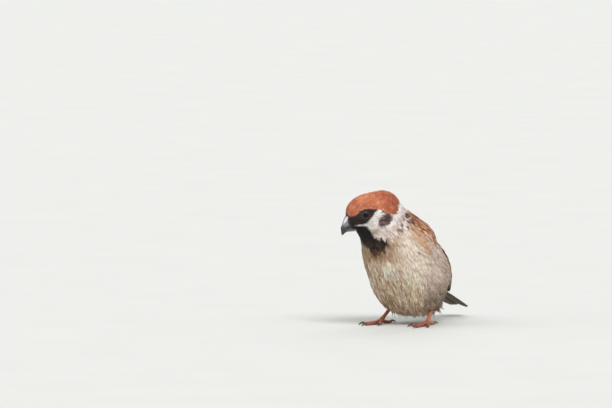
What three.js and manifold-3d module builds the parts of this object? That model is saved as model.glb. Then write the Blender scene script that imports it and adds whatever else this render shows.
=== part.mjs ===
// A Eurasian tree sparrow (Passer montanus), life size, standing still with its head turned to its right.
//
// Millimetres and degrees, +Z up. The trunk faces -Y and the bird's left side is +X. While the bird is
// being built, the origin is on the floor midway between the feet; at the end the whole group is moved so
// that its origin is at the bottom centre of its bounding box.
//
// The plumage's outline is one smooth field made of ellipsoid lobes. Trunk, neck and head are parts of that
// one outline, divided by thin cuts. Wings, tail and legs are lofted, and whatever touches is kept GAP apart.

import * as THREE from "three";
import { mergeVertices } from "three/addons/utils/BufferGeometryUtils.js";
import Module from "manifold-3d";

const wasm = await Module();
wasm.setup();

// ---------------------------------------------------------------- driving dimensions

const GAP = 0.3; // free space between neighbouring solids
const FLOOR_FLAT = 0.12; // how much of each toe's underside is planed off to stand flat

const TRUNK = { centre: [0, -0.5, 29.9], pitch: 48, length: 57, depth: 37, width: 36.5 };

const HEAD = {
  eyes: [-9.4, -27.2, 58.2], // the point midway between the eyes
  turn: -63, // about +Z: to the bird's right
  nod: 27, // bill down
  tilt: 8, // crown towards the bird's left
};

const EYE = { radius: 2.4, apart: 13.7 };

const BILL = { base: -6.4, tip: -15.5, width: 7.4, culmen: 3.6, gape: -3.2, gonys: -7.2, close: -4.9 };

const WING = { wrist: [14.4, -15.6, 43.5], tip: [6.6, 36, 15.5], bulge: 5.1, wrap: 0.03 };

const TAIL = {
  root: [0, 12.8, 24.0],
  droop: 20.1,
  length: 51.6,
  width: 12,
  thickness: { root: 1.9, tip: 1.3 },
  crown: { root: 1.6, tip: 1.3 }, // how far the middle stands above the edges
  notch: { depth: 1.8, width: 3.8 },
};

const LEG = {
  side: {
    left: { sign: 1, ankle: [12, 9.5, 13.5], foot: [12, 0, 2.2], aim: 2 },
    right: { sign: -1, ankle: [-8.2, 9, 13.5], foot: [-13.4, -0.5, 2.2], aim: -8 },
  },
  tarsusRadius: 0.95,
  ankleRadius: 1.35,
  footRadius: 1.38,
};

// Each toe: the bone length without its claw, its heading out of the foot and its claw's length.
const TOES = {
  inner: { length: 9.5, heading: -27, claw: 3.4 },
  middle: { length: 13.5, heading: 0, claw: 3.8 },
  outer: { length: 10, heading: 25, claw: 3.4 },
  hind: { length: 8, heading: 180, claw: 4.6 },
};
const TOE_RADIUS = { root: 1.05, tip: 0.72 };
const CLAW_RADIUS = 0.5;

// The middle line of a toe, and of a claw past its toe's end, as [share of its length, height].
const TOE_LINE = [[0.22, 1.42], [0.5, 0.88], [0.78, 0.72], [1, 0.7]];
const CLAW_LINE = [[-0.1, 1.0], [0.3, 1.25], [0.7, 0.95], [1, 0.28]];

// ---------------------------------------------------------------- colours of the plain solids

const paint = (color, roughness = 0.8) => new THREE.MeshStandardMaterial({ color, roughness, metalness: 0 });

const MATERIAL = {
  breast: paint(0xb9a996),
  crown: paint(0x9a4a2e),
  collar: paint(0xd8d0cc),
  wing: paint(0x8a5a3a),
  tail: paint(0x5c4636),
  bill: paint(0x2e2a2e, 0.35),
  eye: paint(0x120d0a, 0.08),
  leg: paint(0xc07a66, 0.55),
  claw: paint(0x3a2c28, 0.4),
};

// ---------------------------------------------------------------- small helpers

const vec = (x, y, z) => new THREE.Vector3(x, y, z);
const point = (numbers) => new THREE.Vector3(...numbers);
const radians = THREE.MathUtils.degToRad;
const lerp = THREE.MathUtils.lerp;
const mirrorX = (p, sign) => vec(p.x * sign, p.y, p.z);

// A smooth curve through [place, value] pairs, read at any place.
function profile(...pairs) {
  const curve = new THREE.SplineCurve(pairs.map(([at, value]) => new THREE.Vector2(at, value)));
  return (at) => {
    const last = pairs.length - 1;
    let i = 0;
    while (i < last - 1 && at > pairs[i + 1][0]) i++;
    const share = (at - pairs[i][0]) / (pairs[i + 1][0] - pairs[i][0]);
    return curve.getPoint((i + THREE.MathUtils.clamp(share, 0, 1)) / last).y;
  };
}

// ---------------------------------------------------------------- solids

function solidOf(geometry) {
  const bare = geometry.clone();
  for (const name of Object.keys(bare.attributes)) {
    if (name !== "position") bare.deleteAttribute(name);
  }
  const merged = mergeVertices(bare, 1e-3);
  const mesh = new wasm.Mesh({
    numProp: 3,
    vertProperties: new Float32Array(merged.attributes.position.array),
    triVerts: new Uint32Array(merged.index.array),
  });
  return new wasm.Manifold(mesh);
}

function geometryOf(solid) {
  const mesh = solid.getMesh();
  const places = [];
  for (let i = 0; i < mesh.numVert; i++) {
    places.push(...mesh.vertProperties.slice(i * mesh.numProp, i * mesh.numProp + 3));
  }
  const geometry = new THREE.BufferGeometry();
  geometry.setAttribute("position", new THREE.Float32BufferAttribute(places, 3));
  geometry.setIndex([...mesh.triVerts]);
  const shaded = geometry.toNonIndexed();
  shaded.computeVertexNormals();
  return shaded;
}

// A closed skin over rings of points, which all have the same count and turn the same way round.
// An end ring is closed by a fan to its middle.
function loft(rings) {
  const sides = rings[0].length;
  const places = rings.flat();
  const faces = [];
  rings.slice(1).forEach((ring, row) => {
    for (let i = 0; i < sides; i++) {
      const a = row * sides + i;
      const b = row * sides + ((i + 1) % sides);
      faces.push(a, b, b + sides, a, b + sides, a + sides);
    }
  });
  for (const [row, forward] of [[0, false], [rings.length - 1, true]]) {
    const middle = rings[row].reduce((sum, p) => sum.add(p), vec(0, 0, 0)).divideScalar(sides);
    const hub = places.push(middle) - 1;
    for (let i = 0; i < sides; i++) {
      const a = row * sides + i;
      const b = row * sides + ((i + 1) % sides);
      faces.push(...(forward ? [a, b, hub] : [b, a, hub]));
    }
  }
  const geometry = new THREE.BufferGeometry().setFromPoints(places);
  geometry.setIndex(faces);
  const solid = solidOf(geometry);
  if (solid.volume() > 0) return solid;
  geometry.setIndex(faces.reverse());
  return solidOf(geometry);
}

// A round limb through the given points, with a radius at each, as a loft with rounded ends.
function limb(points, radii, { sides = 8, steps = 8, grow = 0, flatten = 1 } = {}) {
  const curve = new THREE.CatmullRomCurve3(points, false, "centripetal");
  const thickness = profile(...radii.map((r, i) => [i / (radii.length - 1), r]));
  const frames = curve.computeFrenetFrames(steps, false);
  const start = frames.tangents[0];
  const across = vec(0, 0, 1).cross(start);
  if (across.length() < 0.1) across.copy(vec(1, 0, 0));
  across.normalize();
  const rings = [];
  const ring = (centre, tangent, radius) => {
    across.addScaledVector(tangent, -across.dot(tangent)).normalize();
    const upward = tangent.clone().cross(across);
    rings.push(
      Array.from({ length: sides }, (_, i) => {
        const angle = (2 * Math.PI * i) / sides;
        return centre
          .clone()
          .addScaledVector(across, radius * Math.cos(angle))
          .addScaledVector(upward, radius * Math.sin(angle) * flatten);
      }),
    );
  };
  const cap = (at, end, sign) => {
    const radius = thickness(at) + grow;
    const tangent = frames.tangents[end];
    const middle = curve.getPoint(at);
    const turns = sign < 0 ? [75, 40] : [40, 75];
    for (const turn of turns) {
      const reach = radius * Math.sin(radians(turn)) * sign;
      ring(middle.clone().addScaledVector(tangent, reach), tangent, radius * Math.cos(radians(turn)));
    }
  };
  cap(0, 0, -1);
  for (let i = 0; i <= steps; i++) {
    ring(curve.getPoint(i / steps), frames.tangents[i], thickness(i / steps) + grow);
  }
  cap(1, steps, 1);
  return loft(rings);
}

// The largest of the pieces that a cut leaves.
const largest = (solid) => solid.decompose().sort((a, b) => b.volume() - a.volume())[0];

// A ball as a solid.
function ball(centre, radius, across = 16, down = 10) {
  const geometry = new THREE.SphereGeometry(radius, across, down);
  geometry.translate(centre.x, centre.y, centre.z);
  return solidOf(geometry);
}

// Half of space as a large block: the side of a plane that its normal points to.
function halfSpace(through, normal, size = 200) {
  const block = new THREE.BoxGeometry(size, size, size);
  block.translate(0, 0, size / 2);
  const turn = new THREE.Quaternion().setFromUnitVectors(vec(0, 0, 1), normal.clone().normalize());
  block.applyQuaternion(turn);
  block.translate(through.x, through.y, through.z);
  return solidOf(block);
}

// ---------------------------------------------------------------- the outline field

// Signed distance, roughly, to an ellipsoid given by its middle, its half sizes and its frame.
function lobe(centre, halves, frame) {
  const inward = frame.clone().multiply(new THREE.Matrix4().makeTranslation(point(centre))).invert();
  const half = point(halves);
  const halfSquared = half.clone().multiply(half);
  const local = vec(0, 0, 0);
  return (p) => {
    local.copy(p).applyMatrix4(inward);
    const far = Math.hypot(local.x / half.x, local.y / half.y, local.z / half.z);
    const slope = Math.hypot(
      local.x / halfSquared.x,
      local.y / halfSquared.y,
      local.z / halfSquared.z,
    );
    return slope < 1e-9 ? -Math.min(...halves) : (far * (far - 1)) / slope;
  };
}

// The union of several fields, blended over about the given width.
function blend(width, ...fields) {
  const pair = (a, b) => {
    const h = Math.max(width - Math.abs(a - b), 0) / width;
    return Math.min(a, b) - (h * h * width) / 4;
  };
  return (p) => fields.slice(1).reduce((joined, field) => pair(joined, field(p)), fields[0](p));
}

// Where a ray from the middle crosses the field's zero level, moved out by grow.
function reach(field, from, towards, grow) {
  const spot = vec(0, 0, 0);
  const value = (far) => field(spot.copy(from).addScaledVector(towards, far)) - grow;
  let outer = 1;
  while (value(outer) < 0 && outer < 80) outer += 1;
  let inner = outer - 1;
  for (let i = 0; i < 18; i++) {
    const middle = (inner + outer) / 2;
    if (value(middle) < 0) inner = middle;
    else outer = middle;
  }
  return inner;
}

// The field's surface seen from a middle, as rings about a pole. Above 1, gather draws the rings together
// towards the pole's far end.
function shell(field, centre, pole, { around, rings, grow = 0, gather = 1 }) {
  const turn = new THREE.Quaternion().setFromUnitVectors(vec(0, 0, 1), pole.clone().normalize());
  const rows = [];
  for (let row = 1; row < rings; row++) {
    const down = Math.PI * (1 - Math.pow(1 - row / rings, gather));
    rows.push(
      Array.from({ length: around }, (_, i) => {
        const angle = (2 * Math.PI * i) / around;
        const way = vec(Math.sin(down) * Math.cos(angle), Math.sin(down) * Math.sin(angle), Math.cos(down));
        way.applyQuaternion(turn);
        return centre.clone().addScaledVector(way, reach(field, centre, way, grow));
      }),
    );
  }
  return loft(rows);
}

// ---------------------------------------------------------------- frames

const WORLD = new THREE.Matrix4();

// Local axes of the trunk: x left, y towards the tail along its axis, z towards its back.
const trunkFrame = new THREE.Matrix4()
  .makeRotationX(-radians(TRUNK.pitch))
  .setPosition(point(TRUNK.centre));

// Local axes of the head: x left, y backwards, z up to the crown, from midway between the eyes.
const headTurn = new THREE.Euler(radians(HEAD.nod), radians(HEAD.tilt), radians(HEAD.turn), "ZXY");
const headFrame = new THREE.Matrix4().makeRotationFromEuler(headTurn).setPosition(point(HEAD.eyes));

// Local axes of the tail: x left, y towards its tip, z towards its upper side, from its root.
const tailFrame = new THREE.Matrix4().makeRotationX(-radians(TAIL.droop)).setPosition(point(TAIL.root));

const inTrunk = (x, y, z) => vec(x, y, z).applyMatrix4(trunkFrame);
const inHead = (x, y, z) => vec(x, y, z).applyMatrix4(headFrame);
const wayInHead = (x, y, z) => vec(x, y, z).transformDirection(headFrame);

// ---------------------------------------------------------------- the plumage's outline

const halfTrunk = [TRUNK.width / 2, TRUNK.length / 2, TRUNK.depth / 2];

const trunkField = blend(
  9,
  lobe([0, 0, 0], halfTrunk, trunkFrame),
  lobe([0, -12, -3], [15.3, 14, 15], trunkFrame), // breast
  lobe([0, -4, 44.3], [13.5, 13, 8], WORLD), // mantle and shoulders
  lobe([7.5, 10, -3.5], [10, 14, 11], trunkFrame), // flanks, fluffed over the legs
  lobe([-7.5, 10, -3.5], [10, 14, 11], trunkFrame),
  lobe([0, 18, 9], [8.5, 16, 7], trunkFrame), // rump
  lobe([0, 9, -0.8], [5.0, 18, 4.0], tailFrame), // coverts over and under the root of the tail
);

const headField = blend(
  4,
  lobe([0, 5.2, -1.3], [9.0, 12.2, 8.7], headFrame), // skull
  lobe([0, -1.2, 1.5], [7.4, 8.2, 6.9], headFrame), // forehead
  lobe([0, -2.6, -3.6], [5.2, 6.0, 5.0], headFrame), // lores and chin
  lobe([4.2, 5.5, -4.6], [5.2, 6.6, 5.4], headFrame), // cheeks
  lobe([-4.2, 5.5, -4.6], [5.2, 6.6, 5.4], headFrame),
);

const neckField = blend(
  6,
  lobe([-1.4, -16, 50], [12.2, 12, 11.5], WORLD), // nape
  lobe([-3.4, -20.6, 45.2], [9.2, 8.5, 8], WORLD), // throat, tucked in under the chin
);

const outline = blend(7, blend(8, trunkField, neckField), headField);

// ---------------------------------------------------------------- trunk, neck and head

// The two cuts that part the neck from the trunk and from the head.
const CUTS = {
  trunk: { through: vec(-1.5, -15, 46.5), normal: vec(-0.12, -0.5, 0.86).normalize() },
  head: { through: vec(-4, -20.5, 51.5), normal: vec(-0.42, -0.42, 0.8).normalize() },
};

const beyond = (cut, shift) =>
  halfSpace(cut.through.clone().addScaledVector(cut.normal, shift), cut.normal);

const trunkMiddle = inTrunk(0, 0, 0);
const trunkPole = trunkMiddle.clone().sub(point(TAIL.root));
const skullMiddle = inHead(0, 4.5, -1.5);
const neckMiddle = vec(-3, -18.5, 49.5);

const trunkRings = { around: 30, rings: 23, gather: 1.45 };
const trunkWhole = shell(outline, trunkMiddle, trunkPole, trunkRings);
const trunkGrown = shell(outline, trunkMiddle, trunkPole, { ...trunkRings, grow: GAP });
const headWhole = shell(outline, skullMiddle, wayInHead(0, -1, 0), { around: 30, rings: 21 });
const neckWhole = shell(outline, neckMiddle, CUTS.head.normal, { around: 30, rings: 16 });

// ---------------------------------------------------------------- bill and eyes

// A mandible as rings from its base to its tip: an arch from the cutting edge to the ridge.
function mandible(ridge, edge, grow) {
  const STEPS = 7;
  const ARCH = 8;
  const rings = [];
  for (let step = 0; step <= STEPS; step++) {
    const share = step / STEPS;
    const along = lerp(BILL.base, BILL.tip, share) + grow * (1 - 2 * share);
    const wide = (BILL.width / 2) * Math.pow(1 - share, 0.82) * (1 - 0.12 * share) + 0.22 + grow;
    const outward = Math.sign(ridge(0) - edge(0));
    const low = edge(share) - outward * grow;
    const high = ridge(share) + outward * grow;
    const ring = [];
    for (let i = 0; i <= ARCH; i++) {
      const angle = (Math.PI * i) / ARCH;
      ring.push(inHead(wide * Math.cos(angle), along, lerp(low, high, Math.pow(Math.sin(angle), 0.85))));
    }
    ring.push(inHead(0, along, lerp(low, high, 0.12)));
    rings.push(ring);
  }
  return loft(rings);
}

const cuttingEdge = profile([0, BILL.gape], [0.4, -3.3], [0.75, -3.1], [1, BILL.close]);
const culmenEnd = BILL.close + 0.4;
const culmen = profile([0, BILL.culmen], [0.3, 2.9], [0.5, 1.6], [0.7, -0.2], [0.88, -1.8], [1, culmenEnd]);
const gonys = profile([0, BILL.gonys], [0.35, -6.2], [0.7, -5.0], [1, BILL.close - 0.6]);
const lowerEdge = (share) => cuttingEdge(share) - GAP * 1.2;

const bill = {
  upper: mandible(culmen, cuttingEdge, 0),
  lower: mandible(gonys, lowerEdge, 0),
};
const billSocket = mandible(culmen, cuttingEdge, GAP).add(mandible(gonys, lowerEdge, GAP));

const eyePlace = { left: inHead(EYE.apart / 2, 0, 0), right: inHead(-EYE.apart / 2, 0, 0) };

// ---------------------------------------------------------------- wings

// A folded wing: a plate that wraps the trunk's side, from its wrist to its tip.
function wing(sign) {
  const STEPS = 13;
  const AROUND = 12;
  const from = point(WING.wrist);
  const to = point(WING.tip);
  const along = to.clone().sub(from).normalize();
  const outward = vec(0.9, 0.08, 0.4);
  outward.addScaledVector(along, -outward.dot(along)).normalize();
  const upward = outward.clone().cross(along).normalize();
  if (upward.z < 0) upward.negate();
  const halfHeight = profile([0, 5], [0.12, 9.2], [0.35, 11.8], [0.6, 9.8], [0.85, 5], [1, 1.6]);
  const halfThick = profile([0, 1.8], [0.12, 3.1], [0.5, 2.6], [0.8, 1.5], [1, 0.6]);
  const rings = [];
  for (let step = 0; step <= STEPS; step++) {
    const share = step / STEPS;
    const centre = from.clone().lerp(to, share);
    centre.addScaledVector(outward, WING.bulge * Math.sin(Math.PI * share));
    const high = halfHeight(share);
    const thick = halfThick(share);
    rings.push(
      Array.from({ length: AROUND }, (_, i) => {
        const angle = (2 * Math.PI * i) / AROUND;
        const up = high * Math.cos(angle);
        const bulk = Math.sign(Math.sin(angle)) * Math.pow(Math.abs(Math.sin(angle)), 0.7);
        const out = thick * bulk - WING.wrap * up * up;
        const p = centre.clone().addScaledVector(upward, up).addScaledVector(outward, out);
        return mirrorX(p, sign);
      }),
    );
  }
  return loft(rings);
}

// ---------------------------------------------------------------- tail

// The closed tail: a thin slab that widens towards its end, where it has a shallow notch.
function tail(grow) {
  const STEPS = 7;
  const droop = radians(TAIL.droop);
  const back = vec(0, Math.cos(droop), -Math.sin(droop));
  const up = vec(0, Math.sin(droop), Math.cos(droop));
  const halfWidth = profile([0, 0.52], [0.25, 0.72], [0.6, 0.92], [0.92, 1], [1, 0.88]);
  const rings = [];
  for (let step = 0; step <= STEPS; step++) {
    const share = step / STEPS;
    const wide = (TAIL.width / 2) * halfWidth(share) + grow;
    const thick = lerp(TAIL.thickness.root, TAIL.thickness.tip, share) / 2 + grow;
    const crown = lerp(TAIL.crown.root, TAIL.crown.tip, share);
    const centre = point(TAIL.root).addScaledVector(back, TAIL.length * share + (share - 0.5) * 2 * grow);
    const across = [-1, -0.8, -0.4, 0, 0.4, 0.8, 1];
    const row = (side) =>
      across.map((x) => {
        const edge = Math.abs(x) === 1 ? 0.35 : 1;
        const height = crown * (0.4 - x * x) + side * thick * edge;
        return centre.clone().addScaledVector(up, height).add(vec(x * wide, 0, 0));
      });
    rings.push([...row(1), ...row(-1).reverse()]);
  }
  const slab = loft(rings);
  if (grow > 0) return slab;
  const end = point(TAIL.root).addScaledVector(back, TAIL.length);
  const { depth, width } = TAIL.notch;
  const past = 0.5; // the notch's cutter stands this far past the tail's end
  const wedge = new THREE.Shape([
    new THREE.Vector2(-width / 2, past),
    new THREE.Vector2(0, -depth),
    new THREE.Vector2(width / 2, past),
  ]);
  const tall = 8;
  const cutter = new THREE.ExtrudeGeometry(wedge, { depth: tall, bevelEnabled: false });
  cutter.translate(0, 0, -tall / 2);
  cutter.applyMatrix4(new THREE.Matrix4().makeBasis(vec(1, 0, 0), back, up).setPosition(end));
  return slab.subtract(solidOf(cutter));
}

// ---------------------------------------------------------------- legs

const floorSide = halfSpace(vec(0, 0, FLOOR_FLAT), vec(0, 0, -1));

const tarsusPoints = (leg) => {
  const ankle = point(leg.ankle);
  const foot = point(leg.foot);
  return [ankle, ankle.clone().lerp(foot, 0.35), ankle.clone().lerp(foot, 0.75), foot];
};

function tarsus(leg, grow) {
  const radii = [LEG.ankleRadius, LEG.tarsusRadius, LEG.tarsusRadius, LEG.footRadius];
  return limb(tarsusPoints(leg), radii, { sides: 8, steps: 7, grow });
}

// A toe leaves the foot level with it, comes down over two knuckles and lies flat.
function toePoints(leg, toe) {
  const heading = radians(leg.aim + leg.sign * toe.heading);
  const way = vec(Math.sin(heading), -Math.cos(heading), 0);
  const foot = point(leg.foot);
  const at = ([share, height]) => vec(foot.x, foot.y, height).addScaledVector(way, toe.length * share);
  return { way, points: [foot, ...TOE_LINE.map(at)] };
}

// A toe is thinner between its knuckles, and narrows towards its claw.
const toeRadii = [0.95, 0.9, 0.98, 0.9, 1].map(
  (share, i) => share * lerp(TOE_RADIUS.root, TOE_RADIUS.tip, i / 4),
);

function toeSolid(leg, toe, grow) {
  const { points } = toePoints(leg, toe);
  return limb(points, toeRadii, { sides: 6, steps: 6, grow });
}

// A curved claw that arches up from the toe's end and comes down to the floor.
function clawSolid(leg, toe) {
  const { way, points } = toePoints(leg, toe);
  const start = points[points.length - 1];
  const at = ([share, height]) => start.clone().addScaledVector(way, toe.claw * share).setZ(height);
  const radii = [1.1, 1, 0.72, 0.52].map((share) => share * CLAW_RADIUS);
  return limb(CLAW_LINE.map(at), radii, { sides: 6, steps: 4 });
}

// ---------------------------------------------------------------- assembly

const bird = new THREE.Group();
const add = (name, solid, material) => {
  const mesh = new THREE.Mesh(geometryOf(solid), material);
  mesh.name = name;
  bird.add(mesh);
};

const legs = Object.entries(LEG.side);
const tailCutter = tail(GAP);

let trunk = trunkWhole.subtract(beyond(CUTS.trunk, -GAP / 2)).subtract(tailCutter);
for (const [, leg] of legs) trunk = trunk.subtract(tarsus(leg, GAP));

const neck = neckWhole
  .intersect(beyond(CUTS.trunk, GAP / 2))
  .subtract(beyond(CUTS.head, -GAP / 2));

let head = headWhole.intersect(beyond(CUTS.head, GAP / 2)).subtract(billSocket);
for (const place of Object.values(eyePlace)) head = head.subtract(ball(place, EYE.radius + GAP));

add("trunk", trunk, MATERIAL.breast);
add("neck", neck, MATERIAL.collar);
add("head", head, MATERIAL.crown);
add("bill_upper", bill.upper, MATERIAL.bill);
add("bill_lower", bill.lower, MATERIAL.bill);
add("tail", tail(0), MATERIAL.tail);

for (const [side, place] of Object.entries(eyePlace)) {
  add(`eye_${side}`, ball(place, EYE.radius), MATERIAL.eye);
}

for (const [side, leg] of legs) {
  add(`wing_${side}`, largest(wing(leg.sign).subtract(trunkGrown).subtract(tailCutter)), MATERIAL.wing);
  add(`leg_${side}_tarsus`, tarsus(leg, 0).subtract(floorSide), MATERIAL.leg);

  let taken = tarsus(leg, GAP).add(floorSide);
  for (const [name, toe] of Object.entries(TOES)) {
    const solid = toeSolid(leg, toe, 0).subtract(taken);
    add(`leg_${side}_toe_${name}`, largest(solid), MATERIAL.leg);
    const claw = clawSolid(leg, toe).subtract(toeSolid(leg, toe, GAP)).subtract(floorSide);
    add(`leg_${side}_claw_${name}`, largest(claw), MATERIAL.claw);
    taken = taken.add(toeSolid(leg, toe, GAP));
  }
}

// The origin goes to the bottom centre of the whole bird.
bird.updateMatrixWorld(true);
const bounds = new THREE.Box3().setFromObject(bird, true);
const middle = bounds.getCenter(vec(0, 0, 0));
bird.position.set(-middle.x, -middle.y, -bounds.min.z);

export default bird;
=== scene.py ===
# A Eurasian tree sparrow, life size: its skin, plumage, wings, tail, face, bill and legs.
#
# Shapes are worked out in millimetres in the bird's own frame: the origin is on the floor between the
# feet, +X is the bird's left, the trunk faces -Y and +Z is up. to_model() turns them into metres in the
# model's frame.

import math

import bmesh
import bpy
import numpy as np
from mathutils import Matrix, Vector
from mathutils.bvhtree import BVHTree
from mathutils.kdtree import KDTree


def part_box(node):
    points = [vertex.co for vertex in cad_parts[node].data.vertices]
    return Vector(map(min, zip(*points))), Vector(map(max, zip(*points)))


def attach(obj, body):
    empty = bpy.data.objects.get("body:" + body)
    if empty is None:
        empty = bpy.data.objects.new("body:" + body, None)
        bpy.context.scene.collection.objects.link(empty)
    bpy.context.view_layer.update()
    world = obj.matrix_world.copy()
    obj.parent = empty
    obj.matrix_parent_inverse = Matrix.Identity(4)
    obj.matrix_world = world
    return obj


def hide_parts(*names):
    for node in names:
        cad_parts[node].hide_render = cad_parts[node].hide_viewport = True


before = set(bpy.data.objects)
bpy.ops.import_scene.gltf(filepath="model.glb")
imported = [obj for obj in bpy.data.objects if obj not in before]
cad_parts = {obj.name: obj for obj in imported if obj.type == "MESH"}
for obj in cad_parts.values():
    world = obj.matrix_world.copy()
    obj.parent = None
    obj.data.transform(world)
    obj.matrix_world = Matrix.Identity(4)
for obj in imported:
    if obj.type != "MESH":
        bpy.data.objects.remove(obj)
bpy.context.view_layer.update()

MM = 0.001


# ---- frames

EYES = np.array([-9.4, -27.2, 58.2])  # midway between the eyes
EYE_RADIUS = 2.4
EYE_SIDE = 6.85  # from the head's middle plane to the centre of an eye
SKULL_MIDDLE = np.array([0, 5, -1.5])  # in the head's own axes


def middle_of(solid):
    low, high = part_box(solid)
    return np.array((low + high) / 2)


# The bird's own origin, in metres in the model's frame.
ORIGIN = (middle_of("eye_left") + middle_of("eye_right")) / 2 - EYES * MM


def turned(axis, degrees):
    """A rotation about one axis, as a 3 x 3 array."""
    c, s = math.cos(math.radians(degrees)), math.sin(math.radians(degrees))
    turns = {
        "x": [[1, 0, 0], [0, c, -s], [0, s, c]],
        "y": [[c, 0, s], [0, 1, 0], [-s, 0, c]],
        "z": [[c, -s, 0], [s, c, 0], [0, 0, 1]],
    }
    return np.array(turns[axis])


# The head's own axes: x left, y backwards, z up to the crown, from midway between the eyes.
HEAD = turned("z", -63) @ turned("x", 27) @ turned("y", 8)


def to_head(p):
    return (p - EYES) @ HEAD


def from_head(*q):
    return np.array(q, float) @ HEAD.T + EYES


def way_in_head(*q):
    return np.array(q, float) @ HEAD.T


# ---- numbers and colours

def smooth(low, high, value):
    """0 below low, 1 above high, and an even rise between them."""
    t = np.clip((value - low) / (high - low), 0, 1)
    return t * t * (3 - 2 * t)


def mix(a, b, t):
    return a + (b - a) * t


def unit(v):
    return v / np.maximum(np.linalg.norm(v, axis=-1, keepdims=True), 1e-9)


def size(v):
    """The lengths of vectors."""
    return np.linalg.norm(v, axis=-1)


def along_normal(v, n):
    return np.sum(v * n, axis=-1, keepdims=True) * n


def curve(*pairs):
    """A smooth curve through (place, value) pairs, read at any place."""
    at, value = (np.array(column, float) for column in zip(*pairs))

    def read(x):
        x = np.clip(x, at[0], at[-1])
        i = np.clip(np.searchsorted(at, x, side="right") - 1, 0, len(at) - 2)
        t = (x - at[i]) / (at[i + 1] - at[i])
        p = [value[np.clip(i + k, 0, len(at) - 1)] for k in (-1, 0, 1, 2)]
        return 0.5 * (
            2 * p[1]
            + (p[2] - p[0]) * t
            + (2 * p[0] - 5 * p[1] + 4 * p[2] - p[3]) * t**2
            + (3 * p[1] - p[0] - 3 * p[2] + p[3]) * t**3
        )

    return read


def colour(red, green, blue):
    """A linear colour from the usual 0 to 255 values."""
    v = np.array([red, green, blue]) / 255
    return np.where(v <= 0.04045, v / 12.92, ((v + 0.055) / 1.055) ** 2.4)


CHESTNUT = colour(202, 120, 87)
# Lighter and darker chestnut: the cap's own mottling, and also its painted highlight and shade.
CHESTNUT_MOTTLE_AND_HIGHLIGHT = colour(226, 152, 118)
CHESTNUT_MOTTLE_AND_SHADE = colour(158, 78, 54)
WHITE = colour(246, 236, 231)
COLLAR = colour(226, 208, 200)
BLACK = colour(29, 23, 21)
MASK = colour(66, 52, 48)
SPOT = colour(84, 66, 65)
SPOT_PALE = colour(136, 116, 112)
BREAST = colour(204, 181, 161)
BELLY = colour(232, 204, 172)
BREAST_PALE = colour(252, 238, 220)
BREAST_BROWN = colour(150, 110, 72)
BREAST_STREAK = colour(124, 90, 60)
FLANK = colour(202, 182, 171)
FLANK_BROWN = colour(166, 139, 106)
# FLANK_SHADE is mostly painted shade, partly the lower flanks' own darker brown.
FLANK_SHADE = colour(112, 95, 73)
MANTLE = colour(172, 106, 62)
MANTLE_BUFF = colour(226, 166, 110)
SHOULDER_BUFF = colour(198, 152, 118)
STREAK = colour(52, 36, 28)
RUMP = colour(158, 128, 98)
VENT = colour(216, 200, 182)
UNDER_DOWN = colour(112, 98, 88)
QUILL = colour(66, 51, 43)
WEB_EDGE = colour(166, 120, 84)
WHITE_TIP = colour(236, 226, 212)
TAIL_WEB = colour(70, 55, 41)
TAIL_EDGE = colour(150, 120, 84)
PRIMARY_EDGE = colour(178, 146, 112)
RUFOUS_EDGE = colour(176, 116, 72)
GREATER_EDGE = colour(172, 102, 62)
MEDIAN_EDGE = colour(120, 70, 46)
LEG = colour(168, 98, 68)
LEG_LOW = colour(150, 84, 62)
CLAW_ROOT = colour(92, 66, 58)
CLAW_TIP = colour(46, 34, 32)
IRIS = colour(46, 26, 16)
IRIS_RIM = colour(18, 12, 10)
PUPIL = colour(4, 4, 5)
LID_GREY = colour(62, 54, 52)
BILL_DARK = colour(58, 54, 62)
# The bill's painted highlight, and its dark end, which also serves as its painted shade.
BILL_HIGHLIGHT = colour(240, 238, 250)
BILL_TIP_AND_SHADE = colour(26, 23, 26)


# ---- meshes

def placed(name, data):
    """A new object in the scene."""
    new = bpy.data.objects.new(name, data)
    bpy.context.scene.collection.objects.link(new)
    return new


def to_model(points):
    """Places in the bird's frame as a flat list in metres in the model's frame."""
    return (points * MM + ORIGIN).astype(np.float32).ravel()


def set_look(mesh, tint, material):
    """Shades a mesh smooth, and gives it a material and a colour for each point."""
    mesh.polygons.foreach_set("use_smooth", np.ones(len(mesh.polygons), bool))
    rgba = np.column_stack([np.clip(tint, 0, 1), np.ones(len(tint))]).astype(np.float32)
    mesh.color_attributes.new("Tint", "FLOAT_COLOR", "POINT").data.foreach_set("color", rgba.ravel())
    mesh.materials.clear()
    mesh.materials.append(material)


def make_piece(name, points, faces, material, slot, tint, maps=None, marks=None, facing=None):
    """A piece of the model from points in the bird's frame and triangles, riding on the body.

    tint is a colour for each point; maps are UV maps, and marks numbers, with a value for each point;
    facing are the normals that it is shaded with."""
    points, tint = np.asarray(points, float), np.asarray(tint)
    faces = np.asarray(faces, np.int32)
    mesh = bpy.data.meshes.new(name)
    mesh.vertices.add(len(points))
    mesh.vertices.foreach_set("co", to_model(points))
    mesh.loops.add(faces.size)
    mesh.loops.foreach_set("vertex_index", faces.ravel())
    mesh.polygons.add(len(faces))
    mesh.polygons.foreach_set("loop_start", np.arange(0, faces.size, 3, dtype=np.int32))
    mesh.update(calc_edges=True)
    mesh.validate()
    set_look(mesh, tint, material)
    for mark, values in (marks or {}).items():
        mesh.attributes.new(mark, "FLOAT", "POINT").data.foreach_set("value", values.astype(np.float32))
    for uv, values in (maps or {}).items():
        per_corner = np.asarray(values, np.float32)[faces.ravel()]
        mesh.uv_layers.new(name=uv).data.foreach_set("uv", per_corner.ravel())
    if facing is not None:
        mesh.normals_split_custom_set_from_vertices(facing.tolist())
    piece = placed(name, mesh)
    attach(piece, "root")
    return piece


def gather(parts):
    """Several (points, faces, ...) sets as one."""
    start = np.cumsum([0] + [len(p[0]) for p in parts])
    columns = [np.concatenate(column) for column in zip(*parts)]
    columns[1] = np.concatenate([p[1] + s for p, s in zip(parts, start)])
    return columns


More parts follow.
